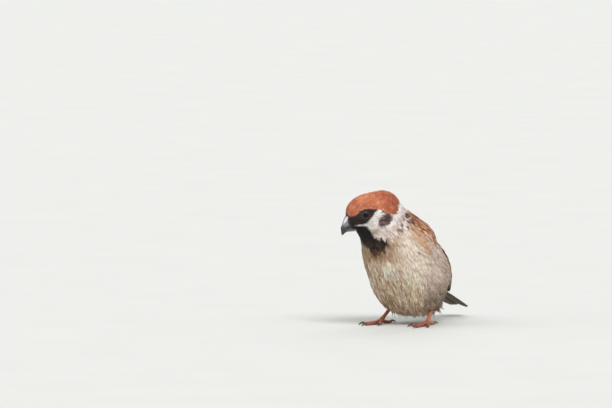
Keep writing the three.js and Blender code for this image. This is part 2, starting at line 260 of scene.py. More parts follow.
def ring_faces(rings, sides, flip=False, ends="closed"):
    """Triangles between rings of points, which follow each other in the list. The first and last ring are
    closed, open, or joined to each other."""
    faces, total = [], rings * sides
    for row in range(rings if ends == "joined" else rings - 1):
        for i in range(sides):
            a, b = row * sides + i, row * sides + (i + 1) % sides
            c, d = (a + sides) % total, (b + sides) % total
            faces += [(a, b, d), (a, d, c)]
    if ends == "closed":
        last = total - sides
        for i in range(1, sides - 1):
            faces += [(0, i + 1, i), (last, last + i, last + i + 1)]
    faces = np.array(faces)
    return faces[:, ::-1] if flip else faces


def many(points, faces):
    """The same faces over each of many sets of points: points is (sets, count, 3)."""
    sets, count = points.shape[:2]
    return points.reshape(-1, 3), (faces[None] + np.arange(sets)[:, None, None] * count).reshape(-1, 3)


# ---- materials

def set_inputs(made, inputs):
    """Sets a node's inputs to numbers or colours, or links them to another node's outputs."""
    for name, value in inputs.items():
        if isinstance(value, bpy.types.NodeSocket):
            made.id_data.links.new(value, made.inputs[name])
        else:
            made.inputs[name].default_value = value


def node(tree, kind, out=None, inputs=None, **settings):
    """The output called out of a new shader node, or the node itself where out isn't given."""
    made = tree.nodes.new("ShaderNode" + kind)
    for name, value in settings.items():
        setattr(made, name, value)
    set_inputs(made, inputs or {})
    return made.outputs[out] if out else made


def noise(tree, per_mm, detail):
    """A noise whose grains are about 1 / per_mm millimetres wide."""
    place = node(tree, "TexCoord", "Object")
    return node(tree, "TexNoise", "Fac", {"Scale": per_mm / MM, "Detail": detail, "Vector": place})


def ramp(tree, value, low, high, dark, light):
    """A grey from dark to light as the value goes from low to high."""
    inputs = {"Value": value, "From Min": low, "From Max": high, "To Min": dark, "To Max": light}
    return node(tree, "MapRange", "Result", inputs)


def grain(tree, per_mm, detail, dark, light):
    """A grey that wavers between dark and light."""
    return ramp(tree, noise(tree, per_mm, detail), 0.3, 0.7, dark, light)


def times(tree, base, *greys):
    """A colour times each of the greys."""
    for grey in greys:
        base = node(tree, "VectorMath", "Vector", {0: base, "Scale": grey}, operation="SCALE")
    return base


def tinted(tree, *greys):
    """The colours of the piece's points times each of the greys."""
    return times(tree, node(tree, "Attribute", "Color", attribute_name="Tint"), *greys)


def new_material(name, look, roughness, specular, sheen=0.0, coat=0.0):
    """A material. look(tree) gives its colour, and the height, depth in mm and strength of its bump, or
    None where it has no bump."""
    material = bpy.data.materials.new(name)
    material.use_nodes = True
    tree = material.node_tree
    colours, relief = look(tree)
    inputs = {"Base Color": colours, "Roughness": roughness, "Specular IOR Level": specular,
              "Sheen Weight": sheen, "Sheen Roughness": 0.4, "Coat Weight": coat, "Coat Roughness": 0.04}
    if relief:
        height, depth, strength = relief
        bump = {"Height": height, "Distance": depth * MM, "Strength": strength}
        inputs["Normal"] = node(tree, "Bump", "Normal", bump)
    set_inputs(tree.nodes["Principled BSDF"], inputs)
    return material


def down_look(tree):
    """The skin and its small feathers: the markings, broken up by fine grains."""
    colours = tinted(tree, grain(tree, 3.2, 4, 0.84, 1.12), grain(tree, 0.45, 2, 0.93, 1.06))
    return colours, (noise(tree, 6.0, 2), 0.03, 0.5)


def vane_look(tree):
    """Feathers with a vane: fine barbs run out from the shaft towards the tip on both sides."""
    across = node(tree, "SeparateXYZ", "X", {"Vector": node(tree, "UVMap", "UV", uv_map="Vane")})
    along = across.node.outputs["Y"]
    side = node(tree, "Math", "Value", {0: across}, operation="ABSOLUTE")
    slant = node(tree, "Math", "Value", {0: side, 1: -0.8, 2: along}, operation="MULTIPLY_ADD")
    place = node(tree, "CombineXYZ", "Vector", {"X": slant})
    wave = {"Scale": 1.1, "Distortion": 0.6, "Detail": 2.0, "Vector": place}
    barbs = node(tree, "TexWave", "Fac", wave)
    colours = tinted(tree, ramp(tree, barbs, 0, 1, 0.86, 1.08), grain(tree, 0.9, 4, 0.86, 1.14))
    return colours, (barbs, 0.03, 0.6)


def horn_look(tree):
    """Horn of the bill and claws, faintly mottled and uneven."""
    return tinted(tree, grain(tree, 1.6, 5, 0.8, 1.2)), (noise(tree, 2.4, 4), 0.04, 0.45)


def leg_look(tree):
    """Skin of the legs: plates across the front, small scales elsewhere, with painted shade in the creases.
    """
    scales = {"Scale": 2.6 / MM, "Vector": node(tree, "TexCoord", "Object")}
    edges = node(tree, "TexVoronoi", "Distance", scales, feature="DISTANCE_TO_EDGE")
    # Painted shade: darker in the creases between the scales and in the grooves between the front plates.
    creases = ramp(tree, edges, 0.0, 0.12, 0.8, 1.0)
    grooves = ramp(tree, node(tree, "Attribute", "Fac", attribute_name="Plate"), 0.0, 0.3, 0.62, 1.04)
    return tinted(tree, creases, grooves, grain(tree, 0.8, 4, 0.82, 1.15)), (creases, 0.06, 0.6)


def eye_look(tree):
    """The eyeball: a black pupil in a dark brown iris with faint rays."""
    return tinted(tree, grain(tree, 2.2, 5, 0.7, 1.35)), None


def lid_look(tree):
    """The bare rim of the eyelids: finely wrinkled dark skin."""
    wrinkles = noise(tree, 4.0, 4)
    return tinted(tree, ramp(tree, wrinkles, 0.3, 0.7, 0.75, 1.25)), (wrinkles, 0.05, 0.7)


DOWN = new_material("small_feathers", down_look, roughness=0.82, specular=0.25, sheen=0.12)
CONTOUR = new_material("back_feathers", vane_look, roughness=0.72, specular=0.35, sheen=0.1)
FLIGHT = new_material("flight_feathers", vane_look, roughness=0.6, specular=0.35, sheen=0.05)
BILL_HORN = new_material("bill_horn", horn_look, roughness=0.36, specular=0.5, coat=0.2)
CLAW_HORN = new_material("claw_horn", horn_look, roughness=0.4, specular=0.5, coat=0.15)
LEG_SKIN = new_material("leg_skin", leg_look, roughness=0.5, specular=0.45)
EYEBALL = new_material("eyeball", eye_look, roughness=0.06, specular=0.14, coat=0.08)
LID = new_material("eyelid", lid_look, roughness=0.55, specular=0.4)


# ---- the folded wing and the tail

# The left wing's chord, its outward bow and wrap, and its height and thickness along it; the right wing
# is its mirror image.
WRIST = np.array([14.4, -15.6, 43.5])
WING_TIP = np.array([6.6, 36, 15.5])
WING_BULGE, WING_WRAP = 5.1, 0.03
WING_LENGTH = float(np.linalg.norm(WING_TIP - WRIST))
WING_ALONG = unit(WING_TIP - WRIST)
WING_OUT = np.array([0.9, 0.08, 0.4])
WING_OUT = unit(WING_OUT - WING_OUT @ WING_ALONG * WING_ALONG)
WING_UP = np.cross(WING_OUT, WING_ALONG)
WING_UP = WING_UP * np.sign(WING_UP[2])
WING_HIGH = curve((0, 5), (0.12, 9.2), (0.35, 11.8), (0.6, 9.8), (0.85, 5), (1, 1.6))
WING_THICK = curve((0, 1.8), (0.12, 3.1), (0.5, 2.6), (0.8, 1.5), (1, 0.6))


def on_wing(a, h, lift, sign):
    """A place on the folded wing's outer face: a along it from the wrist, h up it, lift off it, in mm."""
    share = np.clip(a / WING_LENGTH, 0, 1)
    centre = WRIST + (WING_TIP - WRIST) * (a / WING_LENGTH)[..., None]
    rest = np.clip(1 - (h / WING_HIGH(share)) ** 2, 0, 1) ** 0.35
    out = WING_BULGE * np.sin(np.pi * share) + WING_THICK(share) * rest - WING_WRAP * h * h + lift
    place = centre + WING_UP * h[..., None] + WING_OUT * out[..., None]
    return place * np.array([sign, 1, 1])


def in_wing(p):
    """Places beside the body as (along the wing, up it, out from its chord), and the wing's share."""
    q = np.column_stack([np.abs(p[:, 0]), p[:, 1], p[:, 2]]) - WRIST
    a, h, out = q @ WING_ALONG, q @ WING_UP, q @ WING_OUT
    return a, h, out, np.clip(a / WING_LENGTH, 0, 1)


TAIL_ROOT = np.array([0, 12.8, 24.0])
TAIL_DROOP = math.radians(20.9)
TAIL_ROLL = math.radians(6)
TAIL_BACK = np.array([0, math.cos(TAIL_DROOP), -math.sin(TAIL_DROOP)])
TAIL_UP = np.array([0, math.sin(TAIL_DROOP), math.cos(TAIL_DROOP)])

# Side feathers of the breast lie over the wing as far back as this, for each height on the wing.
COVERED = curve((-12, 43), (-8, 41), (-4, 40), (0, 40), (2, 38), (4.3, 31), (7, 20), (9, 13), (12, 9))


def bare_wing(p):
    """Above 0 on and under the folded wing where no body feather covers it, in mm past their edge."""
    a, h, out, share = in_wing(p)
    face_out = WING_BULGE * np.sin(np.pi * share) - WING_WRAP * h * h
    on_it = (np.abs(h) < WING_HIGH(share) + 0.5) & (out > face_out - 0.6)
    under_it = (np.abs(h) < WING_HIGH(share) - 1.0) & (out > face_out - 5.0)
    return np.where((on_it | under_it) & (a < WING_LENGTH + 1), a - COVERED(h), -1.0)


# ---- the body's outline and its skin

REMESH = 0.5  # the size of the voxels that the solids are joined with, in mm
SPREAD = 0.25  # how far each solid is swollen before they are joined
BILL_STUB = -8.6  # the bill's root ends here, on the head's own y axis
WING_STUB = 42.0  # the wing's root ends here, along it from the wrist
SKINNED = ("trunk", "neck", "head", "eye_left", "eye_right", "bill_upper", "bill_lower", "wing_left",
           "wing_right")


def node_mesh(solid):
    """A CAD node's points in the bird's frame, with doubled points joined, its normals and its faces."""
    form = bmesh.new()
    form.from_mesh(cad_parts[solid].data)
    bmesh.ops.remove_doubles(form, verts=form.verts, dist=1e-6)
    form.normal_update()
    points = np.array([v.co for v in form.verts])
    normals = np.array([v.normal for v in form.verts])
    faces = [[v.index for v in f.verts] for f in form.faces]
    form.free()
    return (points - ORIGIN) / MM, normals, faces


def body_surface():
    """Trunk, neck, head, eyes and the roots of bill and wings as one smooth closed surface."""
    points, faces = [], []
    for solid in SKINNED:
        own, normals, own_faces = node_mesh(solid)
        own = own + normals * SPREAD
        if solid.startswith("bill"):
            q = to_head(own)
            q[:, 1] = np.maximum(q[:, 1], BILL_STUB)
            own = q @ HEAD.T + EYES
        if solid.startswith("wing"):
            past = np.maximum(in_wing(own)[0] - WING_STUB, 0)[:, None]
            own = own - past * WING_ALONG * np.array([1 if solid == "wing_left" else -1, 1, 1])
        start = sum(len(p) for p in points)
        points.append(own)
        faces += [[start + i for i in face] for face in own_faces]
    rough = bpy.data.meshes.new("rough")
    rough.from_pydata(np.concatenate(points).tolist(), [], faces)
    worker = placed("rough", rough)
    remesh = worker.modifiers.new("remesh", "REMESH")
    remesh.mode = "VOXEL"
    remesh.voxel_size = REMESH
    even = worker.modifiers.new("even", "SMOOTH")
    even.factor = 0.5
    even.iterations = 16
    shown = worker.evaluated_get(bpy.context.evaluated_depsgraph_get())
    surface = bpy.data.meshes.new_from_object(shown)
    bpy.data.objects.remove(worker)
    return surface


def values_of(items, name, width, kind=np.float32):
    """A property of a mesh's points, corners or triangles, as an array with a row for each of them."""
    values = np.zeros(len(items) * width, kind)
    items.foreach_get(name, values)
    return values.reshape(-1, width)


surface = body_surface()
OUT_NORMALS = values_of(surface.vertex_normals, "vector", 3).astype(float)
OUT_POINTS = values_of(surface.vertices, "co", 3).astype(float) - OUT_NORMALS * SPREAD
surface.calc_loop_triangles()
OUT_FACES = values_of(surface.loop_triangles, "vertices", 3, np.int32)
OUTLINE = BVHTree.FromPolygons([Vector(p) for p in OUT_POINTS], OUT_FACES.tolist())


def onto_outline(points):
    """The nearest places on the outline and its normals there."""
    places, normals = np.empty_like(points), np.empty_like(points)
    for i, p in enumerate(points):
        place, _, face, _ = OUTLINE.find_nearest(p)
        places[i] = place
        normals[i] = OUT_NORMALS[OUT_FACES[face]].mean(0)
    return places, unit(normals)


# How far a place belongs to the head, and to the short-feathered face round the bill and the eyes, from
# 0 to 1.
def headness(p):
    return 1 - smooth(12.0, 20.0, size(to_head(p) - SKULL_MIDDLE))


def faceness(p):
    q = to_head(p)
    near_bill = 1 - smooth(5.0, 13.0, size(q - [0, -8.5, -1.5]))
    side = np.sign(q[:, :1]) * [EYE_SIDE, 0, 0]
    near_eye = 1 - smooth(2.6, 6.0, size(q - side))
    return np.maximum(near_bill, near_eye)


def by_area(p, body, head, face):
    """A measure of the feathers that changes smoothly from the body to the head and to the face."""
    return mix(mix(body, head, headness(p)), face, faceness(p))


def coat_depth(p):
    """How far the skin lies under the plumage's outline."""
    return by_area(p, mix(1.15, 2.3, smooth(13, 7, p[:, 2])), 0.6, 0.25)


# ---- the markings, and the light and shade painted with them

CAP_EDGE = curve((-10, 3.0), (-7.5, 2.2), (-4.5, 2.0), (-1.3, 2.9), (1.3, 2.7), (5.7, 0.6), (8.6, -1.9),
                 (9.8, -4.2), (11.3, -5.2), (12.8, -6.9), (15, -7.2))
MASK_TOP = curve((-10, 3.0), (-4.5, 2.2), (-1.3, 3.1), (1.3, 2.9), (5.7, 0.8), (9, -1.2))
MASK_LOW = curve((-10, -3.2), (-6.5, -3.0), (-4, -3.8), (-2, -4.0), (0.2, -3.1), (3.0, -1.8), (5.5, -0.3),
                 (7.5, -0.6))
BIB = [from_head(0, -7.5, -6.5), np.array([-6.6, -28.8, 46.2]), np.array([-2.6, -27.4, 43.0])]
BIB_RADII = [3.6, 4.4, 6.2]
BIB_LEFT = curve((41, 9), (43.8, 6), (44.6, 0.5), (45.6, -2.8), (48, -4.2), (52, -4.4))  # by height
FLECKED = [(np.array([9.1, -17.7, 57.0]), 2.2), (np.array([10.3, -21.2, 52.2]), 1.9)]


def capsule(p, start, end, r0, r1):
    """Distance to a tapered capsule, below 0 inside it."""
    way = end - start
    t = np.clip(((p - start) @ way) / (way @ way), 0, 1)
    return size(p - start - t[:, None] * way) - mix(r0, r1, t)


def blob(a, a0, width, b, b0, height):
    """A soft spot over two coordinates: 1 at (a0, b0), and a third of that at its width or height."""
    return np.exp(-(((a - a0) / width) ** 2) - ((b - b0) / height) ** 2)


def oval(a, b, c, s, long, wide):
    """1 on the edge of an oval and 0 at its middle; c and s are the cosine and sine of its turn."""
    return np.hypot((a * c + b * s) / long, (b * c - a * s) / wide)


def cloud(p, wide, seed):
    """A soft random field from -1 to 1 whose grains are about wide millimetres across."""
    cells = 32
    table = np.random.default_rng(seed).uniform(-1, 1, (cells, cells, cells))
    place = np.asarray(p) / wide
    low = np.floor(place).astype(int)
    t = place - low
    t = t * t * (3 - 2 * t)
    total = 0
    for corner in np.ndindex(2, 2, 2):
        weight = np.prod(np.where(corner, t, 1 - t), axis=-1)
        i, j, k = ((low + corner) % cells).T
        total = total + weight * table[i, j, k]
    return total


def paint(base, *layers):
    """A colour, or one for each place, with each layer's colour laid over it by its amount."""
    for over, amount in layers:
        base = mix(base, over, np.clip(amount, 0, 1)[:, None])
    return base


def inlay(tone, over, amount):
    """Colours with others laid over them by an amount for each place."""
    return tone * (1 - amount[:, None]) + over * amount[:, None]


SKULL = from_head(*SKULL_MIDDLE)
COLLAR_BACK = 17.2  # the back's feathers begin this far from the skull's middle
TRUNK_MIDDLE = np.array([0, -0.5, 29.9])
DORSAL = turned("x", -48) @ np.array([0, 0, 1.0])
TAILWARD = turned("x", -48) @ np.array([0, 1.0, 0])
RUMP_FROM = (6, 15)  # the back turns into the rump between these, in mm behind the trunk's middle


def back_line(p):
    """How far places are above the line along the flank where the back's colours begin, in mm."""
    q = p - TRUNK_MIDDLE
    tailward = q @ TAILWARD
    line = mix(3.4, 7.0, smooth(-29, -21, tailward)) + 6.0 * smooth(-12, -2, tailward)
    return q @ DORSAL - line


def dorsal(p):
    """Above 0 on the upper side of the trunk, behind the collar, in mm past the line where it begins."""
    return np.minimum(back_line(p), size(p - SKULL) - COLLAR_BACK)


def pale_patch(p):
    """The palest patch, low on the breast, 1 at its middle."""
    return blob(p[:, 0], 1.9, 3.0, p[:, 2], 27.6, 2.9) * smooth(0, -10, p[:, 1])


def lined(p):
    """How strongly the feathers of the lower breast are edged with brown, from 0 to 1."""
    x, y, z = p.T
    clear = 0.9 * pale_patch(p - [0, 0, 2.5])
    return smooth(40, 31, z) * smooth(13, 5, x) * smooth(6, -4, y) * (1 - clear)


def plumage(p):
    """The colour of the plumage at places in the bird's frame, with its painted light and shade."""
    q = to_head(p)
    back, up, side = q[:, 1], q[:, 2], np.abs(q[:, 0])
    soft, fine = cloud(p, 3.2, 1), cloud(p, 1.3, 2)
    strands = cloud(p - np.outer(p @ TAILWARD, TAILWARD) * 0.75, 1.0, 3)
    x, y, z = p.T
    front = smooth(0, -10, y)
    from_skull = size(p - SKULL)
    behind = (p - TRUNK_MIDDLE) @ TAILWARD

    # The underside, from the breast to the vent, with painted light on the side that faces the lamps and
    # painted shade on the far side, low on the belly and low on the flanks.
    # Painted shade: the bird's right side of the breast, turned from the lamps, is laid in flank brown.
    right_side_shade = smooth(-6, -11, x) * smooth(-18, -13, x) * front * smooth(44, 38, z)
    flank = smooth(10, 17, np.abs(x)) * smooth(-16, -6, y)
    # Painted shade low on the front of the belly, mostly on the bird's right side.
    low_belly_shade = smooth(17, 9, z) * smooth(7, -2, x) * smooth(6, -4, y)
    # Mostly painted shade on the lower rear flanks, which are partly their own darker buff-brown too.
    low_flank_shade = smooth(-11, 0, y) * smooth(27, 13, z) * smooth(7, 13, np.abs(x))
    tone = paint(
        mix(BREAST, BELLY, smooth(38, 27, z)[:, None]),
        # Painted light: the lower breast on the bird's left side, which faces the lamps, is painted paler;
        # the pale patch and the faint noise are the breast's own colour.
        (BREAST_PALE, 0.6 * smooth(6, 12, x) * smooth(18, 26, z) + 2.2 * pale_patch(p) + 0.25 * soft),
        (BREAST_BROWN, 0.35 * blob(x, -4, 7, z, 20, 8) * front * (0.4 + strands + 0.4 * fine)),
        (BREAST_BROWN, blob(x, -2, 8, z, 36.2, 3.0) * front * (1.0 + 0.5 * strands + 0.4 * fine)),
        (FLANK_BROWN, right_side_shade * mix(0.3, 1.0, smooth(17, 30, z)) * (1.0 + 0.5 * strands)),
        (BREAST_BROWN, blob(x, 5, 2.4, z, 40.6, 2.0) * front * (0.8 + 0.5 * strands + 0.4 * fine)),
        (BREAST_STREAK, 0.4 * smooth(0.12, 0.4, strands) * lined(p)),
        (BREAST_PALE, 0.6 * smooth(-0.1, -0.45, strands) * smooth(36, 28, z)),
        (FLANK, flank * 0.9),
        (FLANK_BROWN, flank * (0.35 * smooth(0.1, 0.7, soft) + 0.5 * smooth(0, 12, y))),
        (VENT, smooth(6, 18, y) * smooth(26, 14, z) * 0.9),
        # Painted shade: the lowest feathers darken towards brown, broken by streaks.
        (FLANK_BROWN, smooth(16, 8, z) * (0.2 + 0.3 * soft + 0.5 * strands)),
        (BREAST_BROWN, low_belly_shade * (0.4 + 0.4 * strands)),
        (FLANK_SHADE, low_flank_shade * (0.75 + 0.3 * strands)),
    )

    # The back and rump, then the collar, the white of the face and the flecks round it.
    over = dorsal(p) + 0.5 * soft
    flecks = np.exp(-(((from_skull - 17.0) / 1.9) ** 2)) * smooth(40, 44, z)
    flecks *= smooth(-12, -8, back_line(p)) * smooth(5, 2, back_line(p))
    for place, radius in FLECKED:
        flecks += 1.5 * np.exp(-np.sum((p - place) ** 2, axis=-1) / radius**2)
    malar = blob(back, 0.5, 3.6, up, -9.8, 1.6) * smooth(17, 15, from_skull)
    tone = paint(
        tone,
        (SHOULDER_BUFF, smooth(-14, -8.5, over) * smooth(-21, -17, y) * smooth(-6, -12, y) * 0.85),
        (MANTLE_BUFF, smooth(-4, -1, over) * smooth(-22, -16, y) * smooth(4, -6, y) * 0.4),
        (MANTLE, smooth(-0.8, 0.9, over)),
        (RUMP, smooth(*RUMP_FROM, behind + 2 * soft) * smooth(-1.0, 0.8, over)),
        (COLLAR, smooth(18.4, 16.6, from_skull + 0.6 * soft + 0.3 * fine)),
        (WHITE, smooth(14.6, 12.6, from_skull)),
        (BREAST_BROWN, (0.6 + 0.5 * fine) * malar),
        (SPOT, 0.85 * flecks * smooth(-0.25, 0.1, fine + 0.4 * strands)),
    )

    # The cheek spot, with its arm towards the eye.
    spot = 1 - oval(back - 7.5, up + 6.6, 0.98, 0.2, 4.5, 3.1)
    arm = 0.7 - oval(back - 9.0, up + 3.0, 0.93, 0.36, 1.2, 3.2)
    spot = np.maximum(spot, arm) + 0.12 * soft + 0.14 * fine
    spot_tone = paint(SPOT, (SPOT_PALE, 0.8 * smooth(0.0, 0.5, fine) + 0.3 * smooth(0.4, 0.1, spot)))
    tone = inlay(tone, spot_tone, smooth(-0.12, 0.22, spot) * smooth(4, 6, side))

    # The dark mask, the chin and the bib.
    mask = np.minimum(MASK_TOP(back) - up, up - MASK_LOW(back)) + 0.2 * fine
    on_mask = smooth(-0.35, 0.35, mask) * smooth(7.4 + 0.8 * fine, 6.0, back) * smooth(16, 14, from_skull)
    tone = inlay(tone, paint(BLACK, (MASK, 0.6 + 0.8 * fine)), on_mask)
    chin = np.minimum((-3.4 - 0.45 * (back + 6.5)) - up, 7.8 - side) + 0.2 * soft
    on_chin = smooth(-0.3, 0.6, np.minimum(chin, -1.0 - back)) * smooth(20, 18, from_skull)
    tone = paint(tone, (BLACK, on_chin))
    bib = np.minimum(*(capsule(p, *ends) for ends in zip(BIB, BIB[1:], BIB_RADII, BIB_RADII[1:])))
    bib = np.maximum(bib, x - BIB_LEFT(z))
    bib_tone = paint(BLACK, (BREAST_BROWN * 0.6, smooth(44, 39, z) * (0.3 + 0.8 * fine)))
    tone = inlay(tone, bib_tone, smooth(1.3, -0.9, bib + 0.9 * fine + 0.6 * soft))

    # The chestnut cap, down to the nape: mottled, with a painted highlight on its top and painted shade
    # towards its rear.
    cap = up - CAP_EDGE(back) + 0.25 * fine
    cap_tone = paint(
        CHESTNUT,
        (CHESTNUT_MOTTLE_AND_HIGHLIGHT, 0.3 * smooth(3, 9, up) + 0.3 * soft + 0.4 * fine),
        (CHESTNUT_MOTTLE_AND_SHADE, 0.55 * smooth(7, 13, back) - 0.25 * soft - 0.35 * fine),
    )
    nape = 16.2 + 1.7 * np.exp(-((side / 2.6) ** 2))
    past_nape = size((q - [0, 0.5, -2]) * [1, 0.93, 1]) - nape
    past_nape = np.maximum(past_nape, 0.7 * (back - up - 20.8))
    return inlay(tone, cap_tone, smooth(-0.3, 0.4, cap) * smooth(0.5, -0.5, past_nape + 0.4 * fine))


# ---- the skin

SKIN_POINTS = OUT_POINTS - OUT_NORMALS * coat_depth(OUT_POINTS)[:, None]
# Painted shade: the head's feathers darken towards their hidden bases, and the skin under the face darkens,
# as the shade between the feathers.
PAINTED_HEAD_SHADE = 0.66  # how dark the hidden bases of the head's feathers are, as a share of their tips


def unwrapped(mesh):
    """Places for the mesh's corners in a UV map OFBake, laid out by Blender's own unwrap of its shape."""
    worker = placed("unwrap", mesh)
    bpy.context.view_layer.objects.active = worker
    worker.select_set(True)
    mesh.uv_layers.new(name="OFBake")
    bpy.ops.object.mode_set(mode="EDIT")
    bpy.ops.mesh.select_all(action="SELECT")
    bpy.ops.uv.smart_project(angle_limit=math.radians(72), island_margin=0.012)
    bpy.ops.object.mode_set(mode="OBJECT")
    bpy.data.objects.remove(worker)
    return values_of(mesh.uv_layers["OFBake"].data, "uv", 2)


surface.vertices.foreach_set("co", to_model(SKIN_POINTS))
surface.update()
CORNER_UV = unwrapped(surface)
surface.calc_loop_triangles()
TRI_CORNERS = values_of(surface.loop_triangles, "loops", 3, np.int32)
surface.name = "skin"
skin_tint = plumage(OUT_POINTS)
# The skin takes the down's colour under the body, and painted shade under the face's feathers.
skin_tint = mix(mix(UNDER_DOWN, skin_tint, 0.6), skin_tint * PAINTED_HEAD_SHADE, faceness(OUT_POINTS)[:, None])
set_look(surface, skin_tint, DOWN)
skin = placed("skin", surface)
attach(skin, "root")
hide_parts("trunk", "neck", "head")


# ---- the lie of the coat

# Places and the way that a feather rooted there lies, the first ones in the head's own axes. A row that
# ends in True holds on both sides.
HEAD_LIE = [
    (0, 4, 8, 0, 1, 0),
    (0, 16.5, 0, 0, 0.2, -1),
    (9, 5, -4, 0.1, 0.95, -0.3, True),
    (0, -6, -9, 0, 0.45, -1),
]
BODY_LIE = [
    (9, -22, 52, 0.15, 0.35, -1),
    (-12, -16, 50, -0.3, 0.45, -1),
    (0, -29, 42, 0.1, 0.1, -1),
    (0, -24, 30, 0.05, 0.25, -1),
    (-9, -18, 22, 0.5, 0.35, -1),
    (9, -16, 20, -0.2, 0.35, -1),
    (0, -10, 12, 0.1, 0.85, -0.6),
    (0, 14, 11, 0, 1, -0.1),
    (17, -6, 27, 0, 0.55, -0.85, True),
    (14, -14, 44, 0.2, 0.6, -0.75, True),
    (17, -4, 43, 0.05, 0.88, -0.45, True),
    (18, 8, 35, -0.1, 0.86, -0.5, True),
    (0, -6, 52, 0, 1, -0.25),
    (0, 10, 42, 0, 0.85, -0.6),
    (0, 22, 28, 0, 1, -0.45),
]


def both_sides(rows):
    """The rows' places and ways, with the mirror image of a row after it where it ends in True."""
    for x, y, z, across, along, up, *mirrored in rows:
        for sign in (1, -1) if mirrored else (1,):
            yield np.array([sign * x, y, z]), np.array([sign * across, along, up])


LIE = [(from_head(*place), way_in_head(*way)) for place, way in both_sides(HEAD_LIE)]
LIE += both_sides(BODY_LIE)
BILL_ROOT = from_head(0, -9.5, -0.8)


def lie(p, n):
    """Which way a feather rooted at p lies: a unit vector along the skin."""
    way = np.zeros_like(p)
    for place, heading in LIE:
        apart = np.sum((p - place) ** 2, axis=-1, keepdims=True)
        way += unit(heading) / (apart + 9) ** 1.5
    way = unit(way)
    from_bill = p - BILL_ROOT
    near = 1 - smooth(6, 15, np.linalg.norm(from_bill, axis=-1, keepdims=True))
    way = mix(way, unit(from_bill), near)
    return unit(way - along_normal(way, n))


# ---- where feathers are rooted

TRI = SKIN_POINTS[OUT_FACES]
TRI_AREA = size(np.cross(TRI[:, 1] - TRI[:, 0], TRI[:, 2] - TRI[:, 0])) / 2
TRI_MIDDLE = OUT_POINTS[OUT_FACES].mean(1)
EYE_SIDES = [from_head(EYE_SIDE, 0, 0), from_head(-EYE_SIDE, 0, 0)]
EYE_CLEAR = 2.35  # no feather is rooted nearer to an eye's centre than this
TRIES = 3.2  # how many roots are tried where one would fit


def scatter(where, apart, seed):
    """Roots spread over the part of the skin where where(p) is above 0, about apart(p) from each other.
    Returns the places on the outline, the normals and the places on the unwrap."""
    rng = np.random.default_rng(seed)
    spacing = apart(TRI_MIDDLE)
    expected = TRI_AREA * (where(TRI_MIDDLE) > 0) / spacing**2 * TRIES
    count = np.floor(expected + rng.random(len(expected))).astype(int)
    tri = np.repeat(np.arange(len(count)), count)
    a, b = rng.random((2, len(tri)))
    fold = a + b > 1
    a[fold], b[fold] = 1 - a[fold], 1 - b[fold]
    weights = np.column_stack([1 - a - b, a, b])[:, :, None]
    places = np.sum(OUT_POINTS[OUT_FACES[tri]] * weights, axis=1)
    normals = unit(np.sum(OUT_NORMALS[OUT_FACES[tri]] * weights, axis=1))
    uv = np.sum(CORNER_UV[TRI_CORNERS[tri]] * weights, axis=1)
    tree = KDTree(len(places))
    for i, p in enumerate(places):
        tree.insert(p, i)
    tree.balance()
    free = np.ones(len(places), bool)
    kept = []
    reach = apart(places) * 0.9
    for i in rng.permutation(len(places)):
        if free[i]:
            kept.append(i)
            for _, j, _ in tree.find_range(places[i], reach[i]):
                free[j] = False
    kept = np.array(kept)
    clear = np.ones(len(kept), bool)
    for eye in EYE_SIDES:
        clear &= size(places[kept] - eye) > EYE_CLEAR
    q = to_head(places[kept])
    clear &= ~((q[:, 1] < BILL_STUB + 0.5) & (np.abs(q[:, 2] + 1.8) < 5.0) & (np.abs(q[:, 0]) < 3.2))
    kept = kept[clear]
    return places[kept], normals[kept], uv[kept]


def every(value):
    """The same value at every place."""
    return lambda p: np.full(len(p), value)


# ---- small feathers

PATCH = 0.003  # the size of a small feather's place on the skin's unwrap
DOWNWARD = np.array([0, 0.1, -1.0])
THIRDS = (0, 1 / 3, 2 / 3, 1)  # where the four points of a shaft are along it


def paths(roots, normals, length, loose, rng):
    """Four points down each feather's shaft, from the skin up to the outline, and the normals there."""
    ways = lie(roots, normals)
    sway = rng.normal(0, 0.10, (len(roots), 1)) + 0.22 * cloud(roots, 4.5, 5)[:, None]
    ways = unit(ways + np.cross(normals, ways) * sway)
    depth = coat_depth(roots)[:, None]
    skin_roots = roots - normals * depth
    free_ways = unit(ways + DOWNWARD * 0.7)
    points, ups = [skin_roots], [normals]
    clump = cloud(roots, 2.2, 6)[:, None] * mix(0.16, 0.45, loose[:, None])
    proud = (rng.uniform(-0.3, 0.05, (len(roots), 1)) + clump) * depth
    for share in THIRDS[1:]:
        ahead = roots + ways * (length * share)[:, None]
        place, up = onto_outline(ahead)
        rise = 1 - (1 - share) ** 1.8
        over_wing = smooth(-6, 2, bare_wing(place))[:, None] * 0.2
        place = place - up * depth * (1 - rise) + up * (proud + over_wing) * share
        free = skin_roots + free_ways * (length * share)[:, None]
        points.append(mix(place, free, (loose * share)[:, None]))
        ups.append(up)
    return np.stack(points, 1), np.stack(ups, 1)


def on_path(points, t):
    """The place at share t of each four-point shaft, t with one value for each."""
    place = 0
    for i, at in enumerate(THIRDS):
        weight = np.ones_like(t)
        for j, other in enumerate(THIRDS):
            if i != j:
                weight = weight * (t - other) / (at - other)
        place = place + points[:, i] * weight[:, None]
    return place


